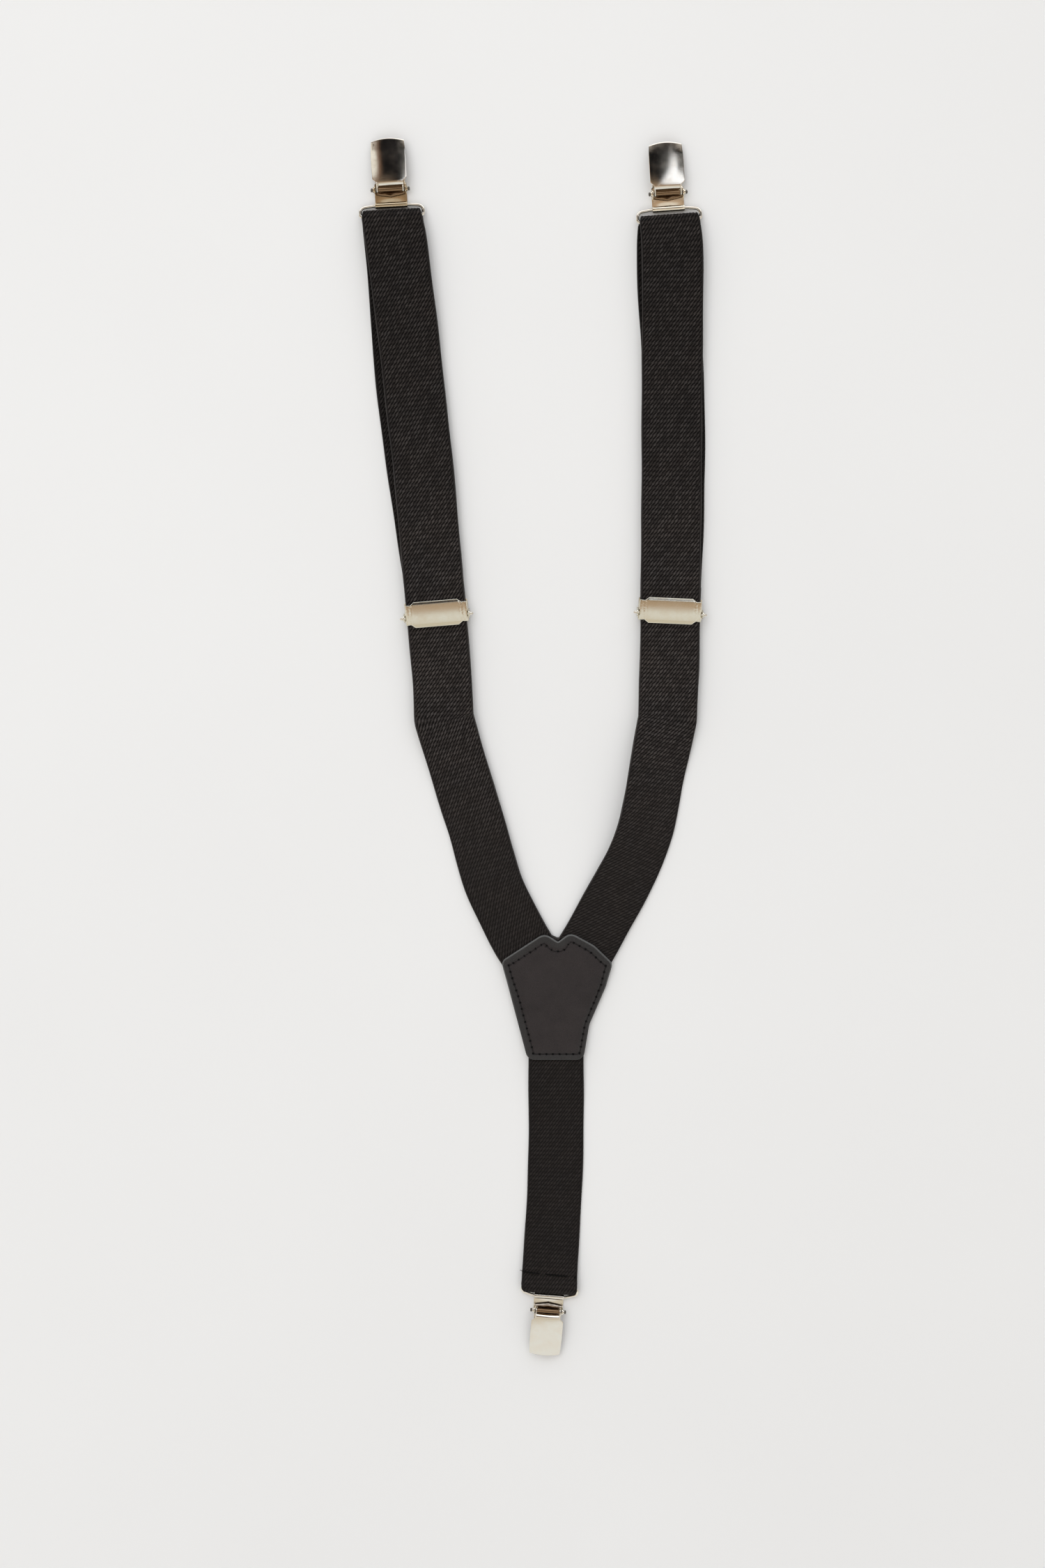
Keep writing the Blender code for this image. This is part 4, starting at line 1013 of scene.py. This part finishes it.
def patch_leather_back():
    """The lower layer: the upper one's outline moved up a little, and more at the notch, where it shows."""
    outline = [(x, y + (1.9 if index == 0 else 0.3), r) for index, (x, y, r) in enumerate(PATCH_OUTLINE)]
    flat, inset, faces = leaf(rounded(outline, 6), [0.1, 0.3, 0.6, 3.3, 3.6, 3.9], 1.0, 2.0, 5)
    edge = rounding(inset, 0.45, 0.85)
    low = 0.55 - 0.55 * edge + 0.12 * dent(inset - STITCH_INSET, 0.35)
    mesh = thick_leaf(flat, faces, 0.55 + 0.5 * edge, low, inset)
    make_piece("patch_leather_back", mesh, BACKING, "root", ["patch_back"])


def build_patch(routes):
    outline = rounded(PATCH_OUTLINE, 8)
    seam, holes = stitch_line(outline)
    edge = np.array([tuple(p) for p in outline])

    def surface(points):
        away = distance_to(points, edge)
        relief = 0.42 * smoothstep(away, 4.0, 9.0) + 0.16 * np.sin(math.pi * np.clip(away / 3.5, 0, 1))
        relief -= 0.20 * dent(distance_to(points, seam), 0.6)
        waves = np.array([noise.noise(Vector((x * 0.11, y * 0.11, 2.0))) for x, y in points])
        return patch_underside(points, routes) + PATCH_THICKNESS + relief + 0.22 * waves

    patch_leather_front(outline, holes, surface, routes)
    pitch, gap = len(seam) / len(holes), STITCH_GAP / SEAM_STEP
    stitches = []
    for k in range(len(holes)):
        steps = np.round(np.linspace(k * pitch + gap, (k + 1) * pitch - gap, 9)).astype(int)
        stitches.append(stitch(seam[steps % len(seam)], surface, radius=0.27, rise=0.12, sink=0.34))
    make_piece("patch_stitches", joined(stitches, True), WAXED_THREAD, "root", ["patch_thread"])
    # A near-black disc at each needle hole: painted shade
    hole_shade_discs = [hole_shade_disc((x, y, z - 0.02)) for (x, y), z in zip(holes, surface(holes))]
    make_piece("patch_painted_hole_shade", joined(hole_shade_discs, True), THREAD, "root", ())
    patch_leather_back()


def build_back_seam(route):
    """The hem's stitches and the thread end left loose beside them."""
    middle_x, middle_y, slant = BACK_SEAM
    half = BACK_WIDTH / 2 - 0.2
    meshes = []

    def surface(points):
        return route.top_at(points[:, 1])

    for k in range(HEM_STITCHES):
        across = -half + 2 * half * (k + np.linspace(0.10, 0.90, 9)) / HEM_STITCHES
        points = np.column_stack([middle_x + across, middle_y + slant * across])
        meshes.append(stitch(points, surface, radius=0.50, rise=0.42, sink=0.10))
    x, y = middle_x - half, middle_y - slant * half
    loose = [(x + 2.0, y, 4.1), (x + 0.6, y + 0.1, 4.4), (x - 0.4, y + 0.35, 3.7), (x - 1.1, y + 0.5, 2.8),
             (x - 1.7, y + 0.3, 2.3)]
    meshes.append(tube(spline_path(loose, 5), 0.17, 8))
    make_piece("back_hem_stitches", joined(meshes, True), THREAD, "root", ["back_seam_thread"])


# ---------------------------------------------------------------- clips

def wire_loop(side, matrix):
    half, shoulder = FRONT_LOOP_HALF_WIDTH, (6.2, 3.2)
    if side == "back":
        half, shoulder = BACK_LOOP_HALF_WIDTH, (4.6, 2.6)
    corners = [(half, 0, 1.8), (half, *shoulder), (9.8, LOOP_LENGTH, 1.2)]
    corners += [(-x, y, radius) for x, y, radius in reversed(corners)]
    line = resampled(rounded(corners, 8), 0.6)
    slack = FOLD_SLACK[side] * 0.8
    points = [(x, (t - 1) * BAR_REACH + slack * (1 - t), BAR_HEIGHT + t * (BARREL_HEIGHT - BAR_HEIGHT))
              for x, t in line / (1, LOOP_LENGTH)]
    mesh = tube(points, WIRE_RADIUS, 18, matrix, looped=True)
    make_piece(f"{side}_loop_wire", mesh, WIRE_METAL, f"{side}_loop", [f"{side}_wire_loop"])


def collar(near, far, inner, outer, matrix, sides=28):
    """A ring round the pin's axis between two places along x, with softened rims."""
    soft = 0.12
    profile = [(near, inner), (near, outer - soft), (near + soft, outer),
               (far - soft, outer), (far, outer - soft), (far, inner)]
    return turned(profile, sides, matrix, PIN_Y, PIN_Z, looped=True)


def lower_jaw(side, matrix):
    """The base plate rolled into the barrel, with two ears for the pin and a collar outside each."""
    floor = SHEET / 2
    curl = [(BARREL_RADIUS * math.cos(angle), BARREL_HEIGHT + BARREL_RADIUS * math.sin(angle))
            for angle in np.radians(np.linspace(25, 270, 31))]
    plate = [(y, floor) for y in (2, 3, 5, 7, 9, 11, 11.8, 12.3, 13, 16, 20, 24, 28, 31, 33)]
    plate += [(33.6, 0.42), (34.0, 0.75), (34.3, 1.15), (34.4, 1.5)]

    def point_at(across, row):
        y, z, domed = row
        half = JAW_HALF_WIDTH - 0.85 * smoothstep(y, 11.6, 12.6)
        return (across * half, y, z + 0.30 * (1 - across ** 2) * domed)

    rows = [(y, z, 0.0) for y, z in curl] + [(y, z, smoothstep(y, 1.6, 3.0)) for y, z in plate]
    meshes = [bent_sheet(rows, 19, point_at, SHEET, matrix)]
    ear = rounded([(5.4, 0.25, 0.3), (11.2, 0.25, 0.3), (10.1, 6.6, 1.5), (6.5, 6.6, 1.5)], 6)
    meshes += [side_plate(ear, sign * JAW_EAR_X, matrix) for sign in (-1, 1)]
    meshes += [collar(near, near + 0.75, PIN_HOLE_RADIUS, 1.45, matrix) for near in (9.0, -9.75)]
    # Each base takes its own copy of the nickel, carrying painted reflection and shade
    make_piece(f"{side}_clip_lower_jaw", joined(meshes), JAW_METALS[side], f"{side}_clip",
               [f"{side}_clip_base"])


def upper_jaw(side, matrix):
    """The spring leaf: narrow between the ears, with a ridge and a waved edge at its rear."""
    rows = spline_path([(5.9, 1.75), (6.3, 2.1), (6.9, 2.4), (8.3, 2.5), (12.0, 2.6), (20.0, 2.8),
                        (31.8, 3.0), (33.2, 2.8), (34.0, 2.3)], 6)

    def point_at(across, row):
        y, z = row
        half = 6.4 + 1.8 * (1 - smoothstep(y, 6.5, 7.1) + smoothstep(y, 12.5, 14.5))
        ridge = (1 - abs(across)) ** 1.1 * (1 - smoothstep(y, 6.2, 8.4))
        wing = 0.175 * math.cos(3 * math.pi * across) * (1 - smoothstep(y, 5.9, 7.2))
        return (across * half, y - 1.5 * ridge, z + ridge + wing)

    mesh = bent_sheet(rows, 25, point_at, 0.5, matrix, 0.1)
    # Paler leaf for the back clip, dark for the front ones: painted light and shade
    metal = SPRING_PAINTED_LIGHT if side == "back" else SPRING_PAINTED_SHADE
    make_piece(f"{side}_clip_upper_jaw", mesh, metal, f"{side}_jaw", [f"{side}_clip_jaw"])


def lever(side, matrix):
    """The bowed cover with its cam wall and ears, and the sleeve round the pin."""
    lean, bow = {"left": (1.4, 1.3), "right": (-0.7, 1.6), "back": (0.0, 1.5)}[side]
    arc, tip_y = (0.7, LEVER_TIP_Y + 1.1) if side == "back" else (1.55, LEVER_TIP_Y)
    rows = [(10.35, 3.35), (10.35, 4.2), (10.35, 5.2), (10.40, 5.9), (10.52, 6.45), (10.75, 6.9),
            (11.1, 7.22), (11.5, 7.4), (LEVER_START_Y, LEVER_TOP)]
    rows += [(LEVER_START_Y + (tip_y - LEVER_START_Y) * t, LEVER_TOP - 3.05 * t ** bow)
             for t in np.arange(1, 35) / 34]

    def point_at(across, row):
        y, z = row
        outward = (y - 24.0) / (tip_y - 24.0)
        body = LEVER_HALF_WIDTH - (0.55 if outward > 0 else 0.15) * outward ** 2
        x = across * (LEVER_NECK_HALF_WIDTH + (body - LEVER_NECK_HALF_WIDTH) * smoothstep(y, 12.4, 14.4))
        upper = smoothstep(z, 4.6, 7.0) if y < LEVER_START_Y else 1.0
        share = x / LEVER_HALF_WIDTH
        pull = arc * across ** 2 * max(0, (y - 30) / (tip_y - 30))
        return (x, y - pull, z - (1.3 * share ** 2 - lean * share) * upper)

    meshes = [bent_sheet(rows, 31, point_at, SHEET, matrix)]
    ear = rounded([(6.7, 3.3, 1.5), (9.9, 3.3, 0.8), (12.4, 5.4, 1.0), (12.4, 7.3, 0.4), (10.6, 7.0, 0.4),
                   (6.7, 6.5, 1.4)], 5)
    meshes += [side_plate(ear, sign * LEVER_EAR_X, matrix) for sign in (-1, 1)]
    make_piece(f"{side}_clip_cover_lever", joined(meshes), NICKEL, f"{side}_lever", [f"{side}_clip_lever"])
    sleeve = collar(-6.85, 6.85, PIN_HOLE_RADIUS, 1.25, matrix, 36)
    # The sleeve takes the dark leaf metal: painted shade under the lever
    make_piece(f"{side}_clip_sleeve", sleeve, SPRING_PAINTED_SHADE, f"{side}_lever", ())


def rivet(side, matrix):
    profile = [(11.0, 0.25), (11.0, 0.55), (10.92, 0.85), (10.75, 1.02), (10.5, 1.08), (9.95, 1.08),
               (9.9, 0.8)]
    profile += [(-x, radius) for x, radius in reversed(profile)]
    mesh = turned(profile, 28, matrix, PIN_Y, PIN_Z)
    make_piece(f"{side}_clip_rivet", mesh, PIN_STEEL, f"{side}_clip", [f"{side}_clip_pin"])


def build_clips():
    for side in ("left", "right", "back"):
        matrix = place_matrix(PLACES[f"{side}_clip"])
        for make in (wire_loop, lower_jaw, upper_jaw, lever, rivet):
            make(side, matrix)


# ---------------------------------------------------------------- adjusters

def folded_down(points, heights):
    """Places of a flat plate's points once its two ends are bent down round COVER_BEND_X."""
    x = np.abs(points[:, 0])
    past = np.clip(x - COVER_BEND_X, 0, None)
    arc = np.minimum(past, COVER_BEND_RADIUS * math.pi / 2)
    angle = arc / COVER_BEND_RADIUS
    radius = COVER_BEND_RADIUS + heights - COVER_UNDERSIDE
    reach = np.where(past > 0, COVER_BEND_X + radius * np.sin(angle), x)
    bent = COVER_UNDERSIDE - COVER_BEND_RADIUS + radius * np.cos(angle) - (past - arc)
    return np.column_stack([np.sign(points[:, 0]) * reach, points[:, 1], np.where(past > 0, bent, heights)])


def toothed_lip(matrix):
    outline = [(-LIP_HALF_WIDTH, 7.7), (-LIP_HALF_WIDTH, 6.5)]
    outline += [(-LIP_HALF_WIDTH + 2 * LIP_HALF_WIDTH * (tooth + 0.5) / LIP_TEETH, 6.0 if tooth % 2 else 6.7)
                for tooth in range(LIP_TEETH)]
    outline += [(LIP_HALF_WIDTH, 6.5), (LIP_HALF_WIDTH, 7.7)]
    points = [(x, 7.05 + side * 0.3, z) for side in (-1, 1) for x, z in outline]
    lip = mesh_from(points, prism_faces(len(outline)), matrix)
    tidy_normals(lip)
    lip.shade_flat()
    return lip


def adjuster_cover(side, matrix):
    """Chamfered, bevelled plate whose tabs are bent down at both sides, with a toothed lip beneath."""
    half = [(-15.0, -5.6), (-12.6, -COVER_HALF_LENGTH), (12.6, -COVER_HALF_LENGTH), (15.0, -5.6),
            (16.2, -5.8), (20.2, -5.8), (20.2, 5.8), (16.2, 5.8)]
    corners = [(x, y, 0.35) for x, y in half] + [(-x, -y, 0.35) for x, y in half]
    flat, inset, faces = leaf(rounded(corners, 4), [0.08, 0.2, 0.4, 0.7, 1.0, 1.3], 0.45, 0.42)
    x, y = np.abs(flat).T
    field = 0.12 * smoothstep(COVER_HALF_LENGTH - y, 0.4, 1.9) + 0.26 * smoothstep(15.6 - x, 0.2, 0.7)
    for groove in (13.9, 15.9):
        field -= 0.14 * dent(x - groove, 0.32)
    top = np.minimum(COVER_UNDERSIDE + 0.07 + 0.33 * rounding(inset, 0.25, 0.9) + field, COVER_TOP_LIMIT)
    top -= COVER_CROWN * (y / COVER_HALF_LENGTH) ** 2
    bottom = np.full(len(flat), COVER_UNDERSIDE)
    points = np.concatenate([folded_down(flat, top), folded_down(flat, bottom)])
    plate = mesh_from(points, shell_faces(faces, len(flat)), matrix)
    tidy_normals(plate, 60)
    make_piece(f"{side}_adjuster_plate", joined([plate, toothed_lip(matrix)]), SATIN, f"{side}_cover",
               [f"{side}_adjuster_cover"])


def adjuster_rod(side, matrix):
    profile = [(21.5, 0.05), (21.4, 0.35), (20.8, 0.75), (20.2, 1.15), (20.0, 1.2), (19.7, 1.15), (19.6, 0.6),
               (18.0, 0.6)]
    profile += [(0, 0.6)] + [(-x, radius) for x, radius in reversed(profile)]
    mesh = turned(profile, 24, matrix, ROD_Y, ROD_Z)
    make_piece(f"{side}_adjuster_pivot", mesh, NICKEL, f"{side}_adjuster", [f"{side}_adjuster_rod"])


def build_adjusters():
    for side in ("left", "right"):
        matrix = place_matrix(PLACES[f"{side}_adjuster"])
        adjuster_cover(side, matrix)
        adjuster_rod(side, matrix)
        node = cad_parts[f"{side}_adjuster_frame"]
        node.data.materials.clear()
        node.data.materials.append(SATIN)
        bevel = node.modifiers.new("bevel", "BEVEL")
        for key, value in edge_bevel(0.12)[1].items():
            setattr(bevel, key, value)


# ---------------------------------------------------------------- studio

# In metres
FLOOR_HALF_SIZE = 4.0
FLOOR_CLEARANCE = 0.0002


def build_floor():
    mesh = bpy.data.meshes.new("floor")
    shape = bmesh.new()
    bmesh.ops.create_grid(shape, x_segments=8, y_segments=8, size=FLOOR_HALF_SIZE)
    shape.to_mesh(mesh)
    shape.free()
    floor = bpy.data.objects.new("floor", mesh)
    floor.location = (0, 0, -FLOOR_CLEARANCE)
    mesh.materials.append(floor_material())
    bpy.context.scene.collection.objects.link(floor)


# The painted studio that the metal mirrors, by direction: across and ahead run from -1 to 1.
# Zones reach from their edge to the rim of the world, and panels rise, stay and fall between four places.
BASE_PAINT = (1.0, 0.985, 0.955)
ZONES = [
    (-0.15, -0.30, (0.79, 0.72, 0.60)), (-0.42, -0.55, (1.03, 1.04, 1.02)), (0.56, 0.70, (1.85, 1.90, 1.98)),
]
ALL_ACROSS = (-1.3, -1.2, 1.2, 1.3)
PANELS = [
    (ALL_ACROSS, (-0.11, -0.02, 0.30, 0.40), (0.58, 0.42, 0.285)),
    (ALL_ACROSS, (0.03, 0.09, 0.30, 0.40), (0.37, 0.275, 0.185)),
    ((-0.10, -0.085, -0.06, -0.045), (0.03, 0.06, 0.15, 0.18), (0.72, 0.67, 0.60)),
    ((-0.04, -0.03, 0.0, 0.01), (0.03, 0.06, 0.15, 0.18), (0.42, 0.26, 0.16)),
    ((-0.95, -0.80, 0.80, 0.95), (0.15, 0.19, 0.50, 0.60), (0.25, 0.17, 0.12)),
    ((-0.95, -0.80, 0.84, 0.95), (0.17, 0.22, 0.48, 0.57), (0.010, 0.0095, 0.010)),
    ((-0.10, 0.34, 0.90, 1.0), (0.22, 0.27, 0.41, 0.47), (0.17, 0.17, 0.17)),
]
SIDE_PAINT = (1.2, 1.18, 1.12)
RIM_PAINT = (0.24, 0.13, 0.075)
WEDGE_PAINT = (1.50, 1.56, 1.70)


def paint_world():
    world = bpy.data.worlds.new("studio")
    bpy.context.scene.world = world
    world.use_nodes = True
    s = Nodes(world.node_tree)
    across, ahead, _ = s.parts(s.add("TexCoord").outputs["Generated"])

    def step(value, low, high):
        """0 below low, rising to 1 at high; low above high falls instead."""
        ends = (1, 0) if low > high else (0, 1)
        return s.spread(value, min(low, high), max(low, high), *ends, interpolation_type="SMOOTHSTEP")

    def band(value, rise, full, still, gone):
        return s.times(step(value, rise, full), step(value, gone, still))

    def oval(x, y, wide, tall):
        """1 inside an oval, falling to 0 over a soft rim."""
        parts = (s.squared(s.ratio(s.minus(value, middle), half))
                 for value, middle, half in ((across, x, wide), (ahead, y, tall)))
        return step(s.plus(*parts), 1.35, 0.75)

    def below(level, slope):
        """Grows by slope for each unit that the direction lies short of the level ahead."""
        return s.times(s.maths("MAXIMUM", s.minus(level, ahead), 0), slope)

    colour = BASE_PAINT
    for low, high, paint in ZONES:
        colour = s.mix(step(ahead, low, high), colour, paint)
    for x_edges, y_edges, paint in PANELS:
        colour = s.mix(s.times(band(across, *x_edges), band(ahead, *y_edges)), colour, paint)
    side = s.times(step(across, -0.66, -0.74), band(ahead, 0.16, 0.22, 0.34, 0.40))
    colour = s.mix(side, colour, SIDE_PAINT)
    colour = s.mix(oval(-0.87, 0.305, 0.33, 0.135), colour, RIM_PAINT)
    colour = s.mix(oval(-0.87, 0.305, 0.25, 0.105), colour, SIDE_PAINT)

    # A bright wedge whose left side slants and whose right side flares
    from_left = s.minus(s.plus(across, below(0.36, 1.75)), 0.34)
    from_right = s.minus(s.minus(across, below(0.33, 4.0)), 0.46)
    wedge = s.times(step(from_left, -0.14, 0.05), step(from_right, 0.05, -0.03))
    colour = s.mix(s.times(wedge, band(ahead, 0.15, 0.19, 0.38, 0.45)), colour, WEDGE_PAINT)
    background = s.tree.nodes["Background"]
    s.put(background.inputs["Color"], colour)
    background.inputs["Strength"].default_value = 0.86


def build_light():
    light = bpy.data.lights.new("window", "AREA")
    light.shape = "RECTANGLE"
    light.size = 3.2
    light.size_y = 2.6
    light.energy = 52.0
    key = bpy.data.objects.new("window", light)
    key.location = (-1.3, 1.3, 3.3)
    key.rotation_euler = (-key.location).to_track_quat("-Z", "Y").to_euler()
    key.visible_glossy = False
    bpy.context.scene.collection.objects.link(key)
    bpy.context.scene.view_settings.view_transform = "Standard"


def build_camera():
    data = bpy.data.cameras.new("camera")
    data.lens = 50
    data.sensor_width = 36
    data.clip_start = 0.05
    data.clip_end = 50
    camera = bpy.data.objects.new("camera", data)
    camera.location = (-0.0075, 0.2073, 1.2684)
    camera.rotation_euler = (math.radians(-9.5), 0, 0)
    bpy.context.scene.collection.objects.link(camera)
    bpy.context.scene.camera = camera


strap_routes = lay_straps()
build_patch(strap_routes)
build_back_seam(strap_routes["back"])
build_clips()
build_adjusters()
build_floor()
paint_world()
build_light()
build_camera()
